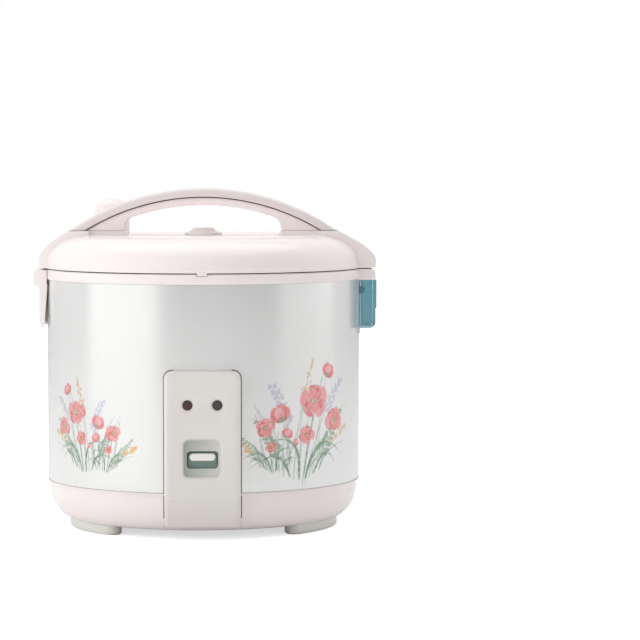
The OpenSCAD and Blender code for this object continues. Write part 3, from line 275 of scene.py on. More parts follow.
@contextmanager
def editing(mesh):
    work = bmesh.new()
    work.from_mesh(mesh)
    yield work
    work.to_mesh(mesh)
    work.free()


def markSharp(mesh, degrees):
    with editing(mesh) as work:
        for face in work.faces:
            face.smooth = True
        for edge in work.edges:
            edge.smooth = len(edge.link_faces) == 2 and edge.calc_face_angle(0) < math.radians(degrees)


def applied(obj):
    # one plain mesh from an object and its modifiers
    bpy.context.view_layer.update()
    graph = bpy.context.evaluated_depsgraph_get()
    mesh = bpy.data.meshes.new_from_object(obj.evaluated_get(graph))
    obj.modifiers.clear()
    old = obj.data
    obj.data = mesh
    if old.users == 0:
        bpy.data.meshes.remove(old)
    return obj


def softened(obj, width, degrees):
    # rounds the edges that turn by more than the given angle
    soften = obj.modifiers.new("edge", "BEVEL")
    soften.width = width * mm
    soften.segments = 3
    soften.limit_method = "ANGLE"
    soften.angle_limit = math.radians(degrees)
    return applied(obj)


def meshObject(name, points, faces, material):
    mesh = bpy.data.meshes.new(name)
    mesh.from_pydata([tuple(p) for p in points], [], [tuple(f) for f in faces])
    mesh.materials.append(material)
    mesh.validate()
    return link(bpy.data.objects.new(name, mesh))


skin = {
    "weld": 2e-6, "sliver": 1e-6,        # in m
    "flat": 0.6,                         # degrees; faces that turn by less are merged
    "sharp": 30, "roundSharp": 40,       # degrees from which an edge stays an edge
    # radius in mm of the moulded edges of each visible CAD node
    "edges": {
        "lid_cover": 0.8, "handle_arch": 1.2, "upper_ring": 0.25, "base_tray": 0.25, "hook_lever": 0.7,
        "dew_collector": 0.4, "control_panel": 0.25, "steam_cap": 0.3, "centre_cap": 0.3,
        "inlet_socket": 0.4, "foot_front_left": 0.3, "foot_front_right": 0.3, "foot_rear_left": 0.3,
        "foot_rear_right": 0.3, "switch_key": 0.25},
}


def outward(obj):
    # turns every face of a closed piece outwards
    with editing(obj.data) as work:
        bmesh.ops.recalc_face_normals(work, faces=work.faces)
    markSharp(obj.data, skin["roundSharp"])
    return obj


def skinOf(nodeName, edge=0):
    # welded copy of a CAD node with its moulded edges rounded
    mesh = frame["nodes"][nodeName].data.copy()
    mesh.name = nodeName + "Skin"
    with editing(mesh) as work:
        bmesh.ops.remove_doubles(work, verts=work.verts, dist=skin["weld"])
        bmesh.ops.dissolve_degenerate(work, edges=work.edges, dist=skin["sliver"])
        bmesh.ops.dissolve_limit(work, verts=work.verts, edges=work.edges,
                                 angle_limit=math.radians(skin["flat"]))
    obj = link(bpy.data.objects.new(nodeName + "Skin", mesh))
    if edge:
        obj = softened(obj, edge, skin["sharp"])
    markSharp(obj.data, skin["sharp"])
    return obj


def dressNodes():
    for nodeName, edge in skin["edges"].items():
        body = frame["nodes"][nodeName]["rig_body"]
        finished(skinOf(nodeName, edge), body, [nodeName])
    print("dressed copies:", len(skin["edges"]))


def buildSensorSpring():
    # welded copy of the coil under the thermostat cap, a coil that shortens as the cap sinks; the copy keeps
    # the one length the frame gives it
    obj = skinOf("sensor_spring")
    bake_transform(obj)
    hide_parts("sensor_spring")


# the printed flowers: sizes in mm on the unrolled sheet, colours as the shader takes them
flowerPrint = {
    "cell": 0.65,                        # distance between painted points
    "rose": (0.70, 0.105, 0.115), "rosePale": (0.86, 0.33, 0.33),
    "pink": (0.88, 0.42, 0.43), "pinkPale": (0.90, 0.66, 0.66),
    "stamen": (0.12, 0.06, 0.07),
    "ochre": ((0.86, 0.64, 0.33), (0.78, 0.45, 0.14)),   # pale and dark, as the next ones
    "leaf": ((0.42, 0.56, 0.40), (0.13, 0.24, 0.165)),
    "reed": ((0.55, 0.63, 0.62), (0.22, 0.31, 0.33)),
    "lilac": ((0.70, 0.68, 0.80), (0.44, 0.40, 0.62)),
}
# lengths and breadths are shares of the blossom's or sprig's size, angles are in degrees
rose = {"petals": 5, "wobble": 7, "rings": (1.0, 0.66), "length": (0.92, 1.08), "breadth": 0.86,
        "bend": 0.1, "blunt": 0.42, "opacity": 0.84, "eye": 0.13,
        "stamens": 11, "stamenPlace": (0.17, 0.27), "stamen": 0.55}
cup = {"petals": ((-38, 0.86), (38, 0.86), (-16, 1.0), (17, 0.97), (0, 0.8)),   # spread and length
       "wobble": 4, "breadth": 0.62, "blunt": 0.5, "calyx": (-62, -20, 20, 62), "calyxSize": (0.34, 0.14)}
bells = {"pairs": 6, "from": 0.52, "step": 0.09, "turn": (65, 105), "spread": 20,
         "length": 1.1, "breadth": 0.42, "opacity": 0.6}   # the length of the first pair
seeds = {"count": 22, "turn": (50, 130), "size": (3.4, 2.0), "opacity": 0.8}   # size in mm
leaflets = {"pairs": 9, "from": 0.28, "step": 0.08, "turn": (42, 54),
            "length": 1.15, "breadth": 0.3, "opacity": 0.75}   # the length at the stalk's foot


def bow(start, middle, finish, t):
    # point of the curve that leaves start and ends at finish, drawn towards middle
    start, middle, finish = (np.array(p, float) for p in (start, middle, finish))
    return start * (1 - t) ** 2 + middle * 2 * t * (1 - t) + finish * t * t


class Painter:
    # colours points of the unrolled sheet, across and up
    def __init__(self, across, up, ground):
        self.across, self.up = across, up
        self.colour = np.tile(np.array(ground, float), (len(across), 1))
        acrossWave = np.sin(across * 0.83 + 2 * np.sin(up * 0.31))
        self.wash = acrossWave * np.sin(up * 0.71 + 1.7 * np.sin(across * 0.27))

    def around(self, x, y, reach):
        return np.flatnonzero((np.abs(self.across - x) < reach) & (np.abs(self.up - y) < reach))

    def lay(self, where, mask, tint):
        mask = np.clip(mask, 0, 1)[:, None]
        self.colour[where] = self.colour[where] * (1 - mask) + np.asarray(tint, float) * mask

    def petal(self, x, y, turn, length, width, heart, edge, strength=0.85, bend=0.0, blunt=0.55):
        # leaf or petal from its foot outwards, tinted from heart to edge, a little darker at its outline
        where = self.around(x, y, length * 1.1 + 1)
        a = math.radians(turn)
        dx, dy = self.across[where] - x, self.up[where] - y
        along, side = dx * math.cos(a) + dy * math.sin(a), -dx * math.sin(a) + dy * math.cos(a)
        t = np.clip(along / length, 0, 1)
        side = side - bend * length * t * t
        half = width / 2 * np.power(np.clip(4 * t * (1 - t), 0, 1), blunt) * (0.6 + 0.8 * t)
        inside = np.clip((half - np.abs(side)) / 0.55, 0, 1) * ((along > 0) & (along < length))
        streak = 0.5 + 0.5 * np.sin(side / width * 21.6 + t * 2)
        outline = np.clip(1 - (half - np.abs(side)), 0, 1)
        tone = np.clip(t * 0.75 + 0.2 * streak + 0.25 * self.wash[where] + 0.35 * outline, 0, 1)[:, None]
        self.lay(where, inside * strength, np.asarray(heart) * (1 - tone) + np.asarray(edge) * tone)

    def ribbon(self, start, middle, finish, width, pale, dark, strength, taper=1.0, steps=14):
        # bowed strip, widest a third of the way along; taper 0 keeps its width
        start, middle, finish = (np.array(p, float) for p in (start, middle, finish))
        reach = max(np.abs(finish - start).max(), np.abs(middle - start).max()) + width
        where = self.around(start[0], start[1], reach)
        best = np.full(len(where), 1e9)
        place = np.zeros(len(where))
        last = start
        for k in range(1, steps + 1):
            point = bow(start, middle, finish, k / steps)
            leg = point - last
            dx, dy = self.across[where] - last[0], self.up[where] - last[1]
            share = np.clip((dx * leg[0] + dy * leg[1]) / max(leg @ leg, 1e-9), 0, 1)
            away = np.hypot(dx - share * leg[0], dy - share * leg[1])
            place = np.where(away < best, (k - 1 + share) / steps, place)
            best = np.minimum(best, away)
            last = point
        shape = np.power(np.clip(1 - place, 0, 1), 0.8) * np.clip(0.35 + 2.2 * place, 0, 1)
        half = width / 2 * ((1 - taper) + taper * 1.25 * shape)
        inside = np.clip((half - best) / 0.45 + 0.5, 0, 1) * (half > 0.08)
        tone = np.clip(0.5 + 0.4 * self.wash[where] + 0.5 * (place - 0.4), 0, 1)[:, None]
        self.lay(where, inside * strength, np.asarray(dark) * (1 - tone) + np.asarray(pale) * tone)

    def dot(self, x, y, radius, tint, strength=0.85):
        where = self.around(x, y, radius + 1)
        away = np.hypot(self.across[where] - x, self.up[where] - y)
        self.lay(where, np.clip((radius - away) / 0.5 + 0.5, 0, 1) * strength, tint)


def openRose(paint, x, y, size, turn, rng, flat):
    # five broad overlapping petals round a pale eye with dotted stamens; flat < 1 tips it back
    p = flowerPrint
    for ring, share in enumerate(rose["rings"]):
        for k in range(rose["petals"]):
            angle = turn + 360 / rose["petals"] * (k + ring / 2)
            angle += rng.uniform(-rose["wobble"], rose["wobble"])
            a = math.radians(angle)
            reach = size * share * math.hypot(math.cos(a), flat * math.sin(a)) * rng.uniform(*rose["length"])
            tint = (p["pinkPale"], p["rose"]) if (k + ring) % 2 else (p["pink"], p["rosePale"])
            bend = rng.uniform(-rose["bend"], rose["bend"])
            paint.petal(x, y, angle, reach, size * share * rose["breadth"], *tint,
                        rose["opacity"], bend, rose["blunt"])
    paint.dot(x, y, size * rose["eye"], p["leaf"][0], 0.9)
    for k in range(rose["stamens"]):
        a = k * 2 * math.pi / rose["stamens"]
        away = size * rng.uniform(*rose["stamenPlace"])
        tint = p["stamen"] if k % 2 else p["ochre"][1]
        paint.dot(x + away * math.cos(a), y + away * flat * math.sin(a), rose["stamen"], tint)


def cupRose(paint, x, y, size, turn, rng):
    # blossom from the side: fanned petals over a small green calyx
    p = flowerPrint
    for spread, share in cup["petals"]:
        tint = (p["rose"], p["rosePale"]) if spread else (p["rosePale"], p["pinkPale"])
        angle = turn + spread + rng.uniform(-cup["wobble"], cup["wobble"])
        paint.petal(x, y, angle, size * share, size * cup["breadth"], *tint, blunt=cup["blunt"])
    for spread in cup["calyx"]:
        paint.petal(x, y, turn + spread, *(size * s for s in cup["calyxSize"]), *p["leaf"])


def bellSprig(paint, curve, size, rng):
    # arching stalk with bells in pairs towards its tip
    p = flowerPrint
    paint.ribbon(*curve, 0.7, *p["reed"], 0.75, 0.2)
    for k in range(bells["pairs"]):
        x, y = bow(*curve, bells["from"] + bells["step"] * k)
        for side in (-1, 1):
            angle = 90 + side * rng.uniform(*bells["turn"])
            for spread in (-bells["spread"], bells["spread"]):
                paint.petal(x, y, angle + spread, size * (bells["length"] - bells["step"] * k),
                            size * bells["breadth"], *p["lilac"], bells["opacity"])


def goldenSprig(paint, curve, size, rng):
    # feathery stalk whose small seeds crowd together at the tip
    p = flowerPrint
    paint.ribbon(*curve, 0.6, *p["leaf"], 0.7, 0.2)
    for k in range(seeds["count"]):
        t = 0.5 + 0.5 * k / (seeds["count"] - 1)
        x, y = bow(*curve, t)
        wide = size * math.sin(math.pi * min(1, 1.15 * (t - 0.5) * 2)) * 0.5 + 0.4
        x, y = x + rng.uniform(-wide, wide), y + rng.uniform(-wide, wide)
        paint.petal(x, y, rng.uniform(*seeds["turn"]), *seeds["size"], *p["ochre"], seeds["opacity"])


def fernFrond(paint, curve, size, rng):
    # rib with pairs of leaflets that shorten to the tip
    p = flowerPrint
    paint.ribbon(*curve, 0.8, *p["leaf"], 0.85, 0.3)
    for k in range(leaflets["pairs"]):
        t = leaflets["from"] + leaflets["step"] * k
        x, y = bow(*curve, t)
        low, high = curve[1:] if t > 0.5 else curve[:2]
        way = math.degrees(math.atan2(high[1] - low[1], high[0] - low[0]))
        for side in (-1, 1):
            angle = way + side * rng.uniform(*leaflets["turn"])
            length = size * (leaflets["length"] - t)
            paint.petal(x, y, angle, length, size * leaflets["breadth"], *p["leaf"], leaflets["opacity"])


spray = {
    # foot, bow and head of each stalk, in mm from where the stalks spring
    "stalks": (((2, -5), (4, 20), (16, 40)), ((-6, -2), (-4, 16), (-9, 30)), ((11, -6), (16, 12), (35, 27)),
               ((-1, -7), (0, 18), (8, 50)), ((14, -4), (18, 20), (27, 56)),
               ((-12, 0), (-12, 12), (-20, 22)), ((18, -1), (19, 14), (22, 30)),
               ((-17, 2), (-14, 10), (-12, 24)), ((6, -8), (8, 8), (12, 22)),
               ((22, 0), (23, 12), (28, 24)), ((-9, -5), (-7, 8), (-4, 22))),
    # the same of each long leaf, and its width
    "leaves": (((3, -7), (6, 26), (-22, 16), 2.4), ((8, -7), (18, 28), (43, 6), 2.8),
               ((-4, -5), (-10, 18), (-33, 0), 2.0), ((15, -4), (26, 18), (36, 0), 1.9),
               ((7, -5), (15, 44), (30, 68), 1.7), ((-13, 0), (-16, 26), (-30, 42), 1.6),
               ((20, -2), (24, 12), (50, 14), 1.5)),
    "reedWidth": 1.8,                    # a long leaf up to this width is painted as a reed
    # kind, foot, bow, head, size, and whether only a rich spray has it
    "sprigs": ((fernFrond, (12, 0), (26, 12), (46, 36), 9.0, False),
               (bellSprig, (-4, 0), (-3, 34), (-17, 52), 5.0, False),
               (goldenSprig, (10, 0), (34, 16), (50, 22), 5.0, False),
               (fernFrond, (-6, 2), (-16, 14), (-29, 32), 7.5, True),
               (bellSprig, (10, 0), (24, 40), (44, 52), 5.0, True),
               (goldenSprig, (4, 6), (3, 42), (15, 66), 4.6, True)),
    # kind, place, size, turn, how far it is tipped back, and whether only a rich spray has it
    "blossoms": ((cupRose, (-9, 29), 11.5, 112, (), False), (openRose, (16, 41), 11.8, 20, (0.82,), False),
                 (openRose, (35, 28), 9.6, 50, (0.72,), True), (cupRose, (27, 55), 9.5, 62, (), True),
                 (openRose, (9, 20), 6.8, -10, (0.8,), False), (cupRose, (-20, 22), 6.5, 140, (), False)),
}


def paintSpray(paint, originX, originY, side, scale, rng, rich):
    # one spray on thin stalks that fans out from the origin; side is the way it leans
    p = flowerPrint

    def at(x, y):
        return originX + side * x * scale, originY + y * scale

    for stalk in spray["stalks"]:
        paint.ribbon(*(at(*place) for place in stalk), 0.7, *p["leaf"], 0.8, 0.15)
    for *leaf, wide in spray["leaves"]:
        colours = p["leaf"] if wide > spray["reedWidth"] else p["reed"]
        paint.ribbon(*(at(*place) for place in leaf), wide * scale, *colours, 0.9)
    for kind, *curve, size, onlyRich in spray["sprigs"]:
        if rich or not onlyRich:
            kind(paint, [at(*place) for place in curve], size * scale, rng)
    for kind, place, size, turn, tipped, onlyRich in spray["blossoms"]:
        if rich or not onlyRich:
            kind(paint, *at(*place), size * scale, turn if side > 0 else 180 - turn, rng, *tipped)


sheet = {
    "wall": 0.8,
    "lip": 0.25,                         # its edges roll in by this much
    "columns": 120, "rows": 8,           # plain cells, where nothing is printed
    "apart": 1.5,                        # least distance of a plain line from a window's edge
    "fineApart": 0.4,                    # and of a fine line from a plain one, in cells
    "printAcross": ((-158, -46), (34, 160)), "printUp": (48, 158),   # where the print is fine enough
    "ground": (0.855, 0.86, 0.86),
    "seed": 7,
    "keyRoom": (0.4, 0.2), "lampRoom": (1, 1),     # a window's margin across and up
    "inletLap": 3,                       # the inlet's flange covers the sheet by this much
    # place across and up, side it leans to, scale, and whether it is a rich one
    "sprays": ((80, 58, 1, 1.32, True), (64, 61, -1, 0.76, False),
               (-104, 61, -1, 1.0, True), (-88, 60, 1, 0.66, False)),
}


def shellWindows():
    # cut-outs of the sheet, as (across low, across high, up low, up high) in mm
    windows = []
    for name, (aside, above) in (("key_guide", sheet["keyRoom"]), ("cook_lamp_lens", sheet["lampRoom"]),
                                 ("warm_lamp_lens", sheet["lampRoom"])):
        low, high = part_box(name)
        windows.append((low.x / mm - aside, high.x / mm + aside, low.z / mm - above, high.z / mm + above))
    low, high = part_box("inlet_socket")
    lap = sheet["inletLap"]
    half = math.pi * shellRadius / mm
    edge = high.x / mm - lap
    for left, right in ((half - edge, half), (-half, -half + edge)):
        windows.append((left, right, low.z / mm + lap, high.z / mm - lap))
    return windows


def stops(low, high, count, ranges, kept):
    # grid lines: the plain ones and the kept ones, and finer ones inside the ranges
    cell = flowerPrint["cell"]
    fixed = {round(k, 3) for k in kept}
    ends = (round(low, 3), round(high, 3))
    plain = sorted(set(np.round(np.linspace(low, high, count + 1), 3)) | fixed)
    plain = [v for v in plain if v in ends or v in fixed or all(abs(v - k) > sheet["apart"] for k in kept)]
    fine = np.concatenate([np.arange(a, b, cell) for a, b in ranges])
    fine = [round(v, 3) for v in fine if min(abs(v - p) for p in plain) > sheet["fineApart"] * cell]
    lines = sorted(plain + fine)
    return np.array(lines), [lines.index(v) for v in plain]


def buildShell():
    radius = shellRadius / mm
    half = math.pi * radius
    windows = shellWindows()
    columns, coarseColumns = stops(-half, half, sheet["columns"], sheet["printAcross"],
                                   [v for w in windows for v in w[:2]])
    rows, coarseRows = stops(shellLow / mm, shellHigh / mm, sheet["rows"], [sheet["printUp"]],
                             [v for w in windows for v in w[2:]])
    across = columns[:-1]                          # the last column is the first one again
    count, wide, high = len(across), len(coarseColumns) - 1, len(coarseRows) - 1
    points = []

    def surface(r, columnIds, rowIds):
        first = len(points)
        for i in rowIds:
            pull = sheet["lip"] if i in (0, len(rows) - 1) else 0
            for j in columnIds:
                a = across[j] / radius
                points.append(((r - pull) * math.sin(a) * mm, -(r - pull) * math.cos(a) * mm, rows[i] * mm))
        return first

    surface(radius, range(count), range(len(rows)))
    painted = len(points)
    inner = surface(radius - sheet["wall"], coarseColumns[:-1], coarseRows)

    def outside(i, j):
        return i * count + j % count

    def inside(i, j):
        return inner + i * wide + j % wide

    def isSolid(i, j):
        a = (columns[coarseColumns[j]] + columns[coarseColumns[j + 1]]) / 2
        z = (rows[coarseRows[i]] + rows[coarseRows[i + 1]]) / 2
        return not any(w[0] < a < w[1] and w[2] < z < w[3] for w in windows)

    solid = np.array([[isSolid(i, j) for j in range(wide)] for i in range(high)])
    faces = []
    for i, j in np.argwhere(solid).tolist():
        r0, r1, c0, c1 = coarseRows[i], coarseRows[i + 1], coarseColumns[j], coarseColumns[j + 1]
        for r in range(r0, r1):
            for c in range(c0, c1):
                faces.append((outside(r, c), outside(r, c + 1), outside(r + 1, c + 1), outside(r + 1, c)))
        faces.append((inside(i, j), inside(i + 1, j), inside(i + 1, j + 1), inside(i, j + 1)))
        if i == 0 or not solid[i - 1, j]:
            edge = [outside(r0, c) for c in range(c1, c0 - 1, -1)]
            faces.append([inside(i, j), inside(i, j + 1), *edge])
        if i == high - 1 or not solid[i + 1, j]:
            edge = [outside(r1, c) for c in range(c0, c1 + 1)]
            faces.append([inside(i + 1, j + 1), inside(i + 1, j), *edge])
        if not solid[i, j - 1]:
            edge = [outside(r, c0) for r in range(r0, r1 + 1)]
            faces.append([inside(i + 1, j), inside(i, j), *edge])
        if not solid[i, (j + 1) % wide]:
            edge = [outside(r, c1) for r in range(r1, r0 - 1, -1)]
            faces.append([inside(i, j + 1), inside(i + 1, j + 1), *edge])
    obj = meshObject("printedShell", points, faces, finishes["printed_shell"])
    paint = Painter(np.tile(across, len(rows)), np.repeat(rows, count), sheet["ground"])
    rng = random.Random(sheet["seed"])
    for x, y, side, scale, rich in sheet["sprays"]:
        paintSpray(paint, x, y, side, scale, rng, rich)
    tint = np.ones((len(points), 4), np.float32)
    tint[:, :3] = sheet["ground"]
    tint[:painted, :3] = paint.colour
    used = obj.data.attributes.new("print", "FLOAT_COLOR", "POINT")
    used.data.foreach_set("color", tint.ravel())
    with editing(obj.data) as work:
        bmesh.ops.delete(work, geom=[v for v in work.verts if not v.link_faces], context="VERTS")
        openEdges = sum(1 for e in work.edges if len(e.link_faces) != 2)
        print("shell:", len(work.faces), "faces,", openEdges, "open edges")
    markSharp(obj.data, skin["roundSharp"])
    return finished(obj, "cooker", ["outer_shell"])


view = {
    "distance": 2.47,                    # from the object's axis
    "height": 0.316,
    "focalPixels": 2910,                 # for a picture 640 pixels wide
    "axisPixel": 203.4, "horizonPixel": 151, "middlePixel": 320, "pictureWidth": 640,
    "turn": 0.5,                         # degrees round the object, to its right
    "sensor": 36, "seen": (0.05, 30),    # nearest and farthest distance shown
}


def buildCamera():
    lens = bpy.data.cameras.new("studioCamera")
    lens.sensor_width = view["sensor"]
    lens.lens = view["sensor"] * view["focalPixels"] / view["pictureWidth"]
    lens.clip_start, lens.clip_end = view["seen"]
    camera = link(bpy.data.objects.new("studioCamera", lens))
    turn = Matrix.Rotation(math.radians(view["turn"]), 3, "Z")
    camera.location = turn @ Vector((0, -view["distance"], view["height"]))
    aim = turn @ Vector((view["middlePixel"] - view["axisPixel"], view["focalPixels"],
                         view["horizonPixel"] - view["middlePixel"]))
    camera.rotation_euler = aim.to_track_quat("-Z", "Y").to_euler()
    bpy.context.scene.camera = camera


studio = {
    "front": 0.23, "back": 0.95,         # the room's brightness before and behind the object
    "roomColour": (1, 0.985, 0.985),
    "turnsBright": (-0.35, 0.5),         # it changes between these, from before to behind
    # azimuth, distance, level, level aimed at, width, height, watts, colour, mirrored by the surfaces
    "lights": {
        "left": (-60, 1.7, 0.75, 0.15, 2.1, 1.9, 10, (1, 0.995, 0.985), True),
        "right": (82, 1.9, 0.75, 0.15, 2.0, 1.5, 4.5, (1, 0.995, 0.985), True),
        "fill": (12, 2.6, 0.75, 0.15, 1.2, 1.2, 3.2, (1, 0.995, 0.985), False),
        "brow": (-8, 0.75, 0.9, 0.26, 0.8, 0.55, 1.62, (1, 0.99, 0.98), False),
        "cheek": (-52, 0.85, 0.3, 0.15, 0.5, 0.5, 0.8, (1, 0.99, 0.98), False),
        "top": (180, 0.3, 2.2, 0.2, 2.2, 2.2, 18.5, (1, 1, 1), True),
    },
    "floorGlow": 0.62, "floorTint": 0.93, "floorRough": 0.9, "floorGloss": 0.1,
    "floorReach": 6,                     # half side of the floor, in m
}


def areaLight(name, azimuth, distance, level, aim, width, height, power, colour, mirrored):
    lamp = bpy.data.lights.new(name, "AREA")
    lamp.energy = power
    lamp.color = colour
    lamp.shape = "RECTANGLE"
    lamp.size = width
    lamp.size_y = height
    obj = link(bpy.data.objects.new(name, lamp))
    a = math.radians(azimuth)
    obj.location = (distance * math.sin(a), -distance * math.cos(a), level)
    obj.rotation_euler = (Vector((0, 0, aim)) - obj.location).to_track_quat("-Z", "Y").to_euler()
    obj.visible_glossy = mirrored


def seenDirectly(tree):
    # 1 where the camera, or a look through a clear piece, meets it
    path = addNode(tree, "ShaderNodeLightPath")
    return maths(tree, "MAXIMUM", path.outputs["Is Camera Ray"], path.outputs["Is Transmission Ray"])


def buildStudio():
    world = bpy.data.worlds.new("studio")
    bpy.context.scene.world = world
    world.use_nodes = True
    tree = world.node_tree
    tree.nodes.clear()
    coords = addNode(tree, "ShaderNodeTexCoord")
    way = addNode(tree, "ShaderNodeSeparateXYZ", {"Vector": coords.outputs["Generated"]})
    strength = span(tree, way.outputs["Y"], studio["turnsBright"], (studio["front"], studio["back"]),
                    interpolation_type="SMOOTHSTEP")
    room = addNode(tree, "ShaderNodeBackground", {"Color": (*studio["roomColour"], 1), "Strength": strength})
    white = addNode(tree, "ShaderNodeBackground", {"Color": (1, 1, 1, 1), "Strength": 1.0})
    mixed = addNode(tree, "ShaderNodeMixShader", {
        0: seenDirectly(tree), 1: room.outputs[0], 2: white.outputs[0]})
    addNode(tree, "ShaderNodeOutputWorld", {"Surface": mixed.outputs[0]})
    for name, values in studio["lights"].items():
        areaLight(name + "Box", *values)

    material, tree, shader = newMaterial("paleFloor")
    wire(tree, shader, {"Base Color": (*[studio["floorTint"]] * 3, 1), "Roughness": studio["floorRough"],
                        "Specular IOR Level": studio["floorGloss"]})
    glow = addNode(tree, "ShaderNodeEmission", {
        "Color": (1, 1, 1, 1), "Strength": maths(tree, "MULTIPLY", seenDirectly(tree), studio["floorGlow"])})
    both = addNode(tree, "ShaderNodeAddShader", {0: shader.outputs["BSDF"], 1: glow.outputs[0]})
    wire(tree, next(n for n in tree.nodes if n.type == "OUTPUT_MATERIAL"), {"Surface": both.outputs[0]})
    reach = studio["floorReach"]
    corners = [(-reach, -reach, 0), (reach, -reach, 0), (reach, reach, 0), (-reach, reach, 0)]
    floor = meshObject("floor", corners, [(0, 1, 2, 3)], material)
    print("studio: floor and", len(studio["lights"]), "lights")


def nodeTree(name, floats, others=()):
    # empty tree with named inputs; returns it with the sockets it is given and its output node
    tree = bpy.data.node_groups.new(name, "GeometryNodeTree")
    kinds = [(label, "Float") for label in floats] + [*others, ("Material", "Material")]
    for label, kind in [("Geometry", "Geometry"), *kinds]:
        tree.interface.new_socket(label, in_out="INPUT", socket_type="NodeSocket" + kind)
    tree.interface.new_socket("Geometry", in_out="OUTPUT", socket_type="NodeSocketGeometry")
    return tree, tree.nodes.new("NodeGroupInput").outputs, tree.nodes.new("NodeGroupOutput")


def finishTree(tree, geometry, given, finish):
    realized = addNode(tree, "GeometryNodeRealizeInstances", {"Geometry": geometry})
    dressed = addNode(tree, "GeometryNodeSetMaterial", {
        "Geometry": realized.outputs[0], "Material": given["Material"]})
    wire(tree, finish, {"Geometry": dressed.outputs[0]})
    return tree


def grown(name, tree, values, material, points=((0, 0, 0),)):
    # runs a tree on the given points and keeps the plain mesh
    mesh = bpy.data.meshes.new(name)
    mesh.from_pydata([tuple(p) for p in points], [], [])
    obj = link(bpy.data.objects.new(name, mesh))
    rule = obj.modifiers.new("rule", "NODES")
    rule.node_group = tree
    values = {**values, "Material": material}
    for item in tree.interface.items_tree:
        if item.in_out == "INPUT" and item.name in values:
            rule[item.identifier] = values[item.name]
    obj = applied(obj)
    if not obj.data.materials:
        obj.data.materials.append(material)
    return obj


def vector(tree, x=0, y=0, z=0):
    return addNode(tree, "ShaderNodeCombineXYZ", {"X": x, "Y": y, "Z": z}).outputs[0]


def shifted(tree, geometry, offset):
    return addNode(tree, "GeometryNodeTransform", {"Geometry": geometry, "Translation": offset}).outputs[0]


def sweepTree():
    # square strip along an arc; a full turn closes on itself
    tree, given, finish = nodeTree("seamSweep", (
        "Radius", "Start", "Sweep", "Width", "Height"), [("Steps", "Int")])
    arc = addNode(tree, "GeometryNodeCurveArc", {
        "Resolution": given["Steps"], "Radius": given["Radius"],
        "Start Angle": given["Start"], "Sweep Angle": given["Sweep"]})
    outline = addNode(tree, "GeometryNodeCurvePrimitiveQuadrilateral", {
        "Width": given["Width"], "Height": given["Height"]})
    strip = addNode(tree, "GeometryNodeCurveToMesh", {
        "Curve": arc.outputs["Curve"], "Profile Curve": outline.outputs["Curve"], "Fill Caps": True})
    return finishTree(tree, strip.outputs[0], given, finish)


grip = {"lowerEdge": 1.0, "upperEdge": 3.4, "endRound": 0.5,   # mm
        "halfAngle": 50, "steps": 97, "edgeSteps": 7, "sharp": 32}


def gripTree():
    # rounded bar bent along an arc and cut off level, as the handle's upper half is
    tree, given, finish = nodeTree("gripSweep", (
        "Radius", "Half Angle", "Width", "Thickness", "Lower Edge", "Upper Edge", "Seat"))
    radius, half = given["Radius"], given["Half Angle"]
    middle = maths(tree, "ADD", radius, maths(tree, "MULTIPLY", given["Thickness"], 0.5))
    arc = addNode(tree, "GeometryNodeCurveArc", {
        "Resolution": grip["steps"], "Radius": middle, "Sweep Angle": maths(tree, "MULTIPLY", half, 2),
        "Start Angle": maths(tree, "SUBTRACT", math.pi / 2, half)})
    bar = addNode(tree, "GeometryNodeCurvePrimitiveQuadrilateral", {
        "Width": given["Thickness"], "Height": given["Width"]})
    place = addNode(tree, "GeometryNodeInputPosition")
    parts = addNode(tree, "ShaderNodeSeparateXYZ", {"Vector": place.outputs[0]})
    upper = maths(tree, "GREATER_THAN", parts.outputs["X"], 0)
    more = maths(tree, "SUBTRACT", given["Upper Edge"], given["Lower Edge"])
    edge = maths(tree, "ADD", given["Lower Edge"], maths(tree, "MULTIPLY", upper, more))
    outline = addNode(tree, "GeometryNodeFilletCurve", {
        "Curve": bar.outputs["Curve"], "Radius": edge, "Limit Radius": True,
        "Count": grip["edgeSteps"]}, mode="POLY")
    swept = addNode(tree, "GeometryNodeCurveToMesh", {
        "Curve": arc.outputs["Curve"], "Profile Curve": outline.outputs[0], "Fill Caps": True})
    wide = maths(tree, "MULTIPLY", radius, 3)
    block = addNode(tree, "GeometryNodeMeshCube", {"Size": vector(tree, wide, radius, wide)})
    level = maths(tree, "ADD", given["Seat"], maths(tree, "MULTIPLY", radius, 0.5))
    cut = addNode(tree, "GeometryNodeMeshBoolean", {"Mesh 2": swept.outputs[0]},
                  operation="INTERSECT", solver="EXACT")
    wire(tree, cut, {"Mesh 2": shifted(tree, block.outputs[0], vector(tree, y=level))})
    return finishTree(tree, cut.outputs[0], given, finish)


screw = {
    "height": 1.8, "slotWidth": 0.9, "slotLength": 3.6,   # mm, as the sizes of each kind
    "case": {"head": 3.4, "top": 2.4, "shank": 1.5, "turn": 20},
    "lid": {"head": 3.0, "top": 2.5, "shank": 0.9, "turn": 35},
    "headSides": 28, "shankSides": 20,
}


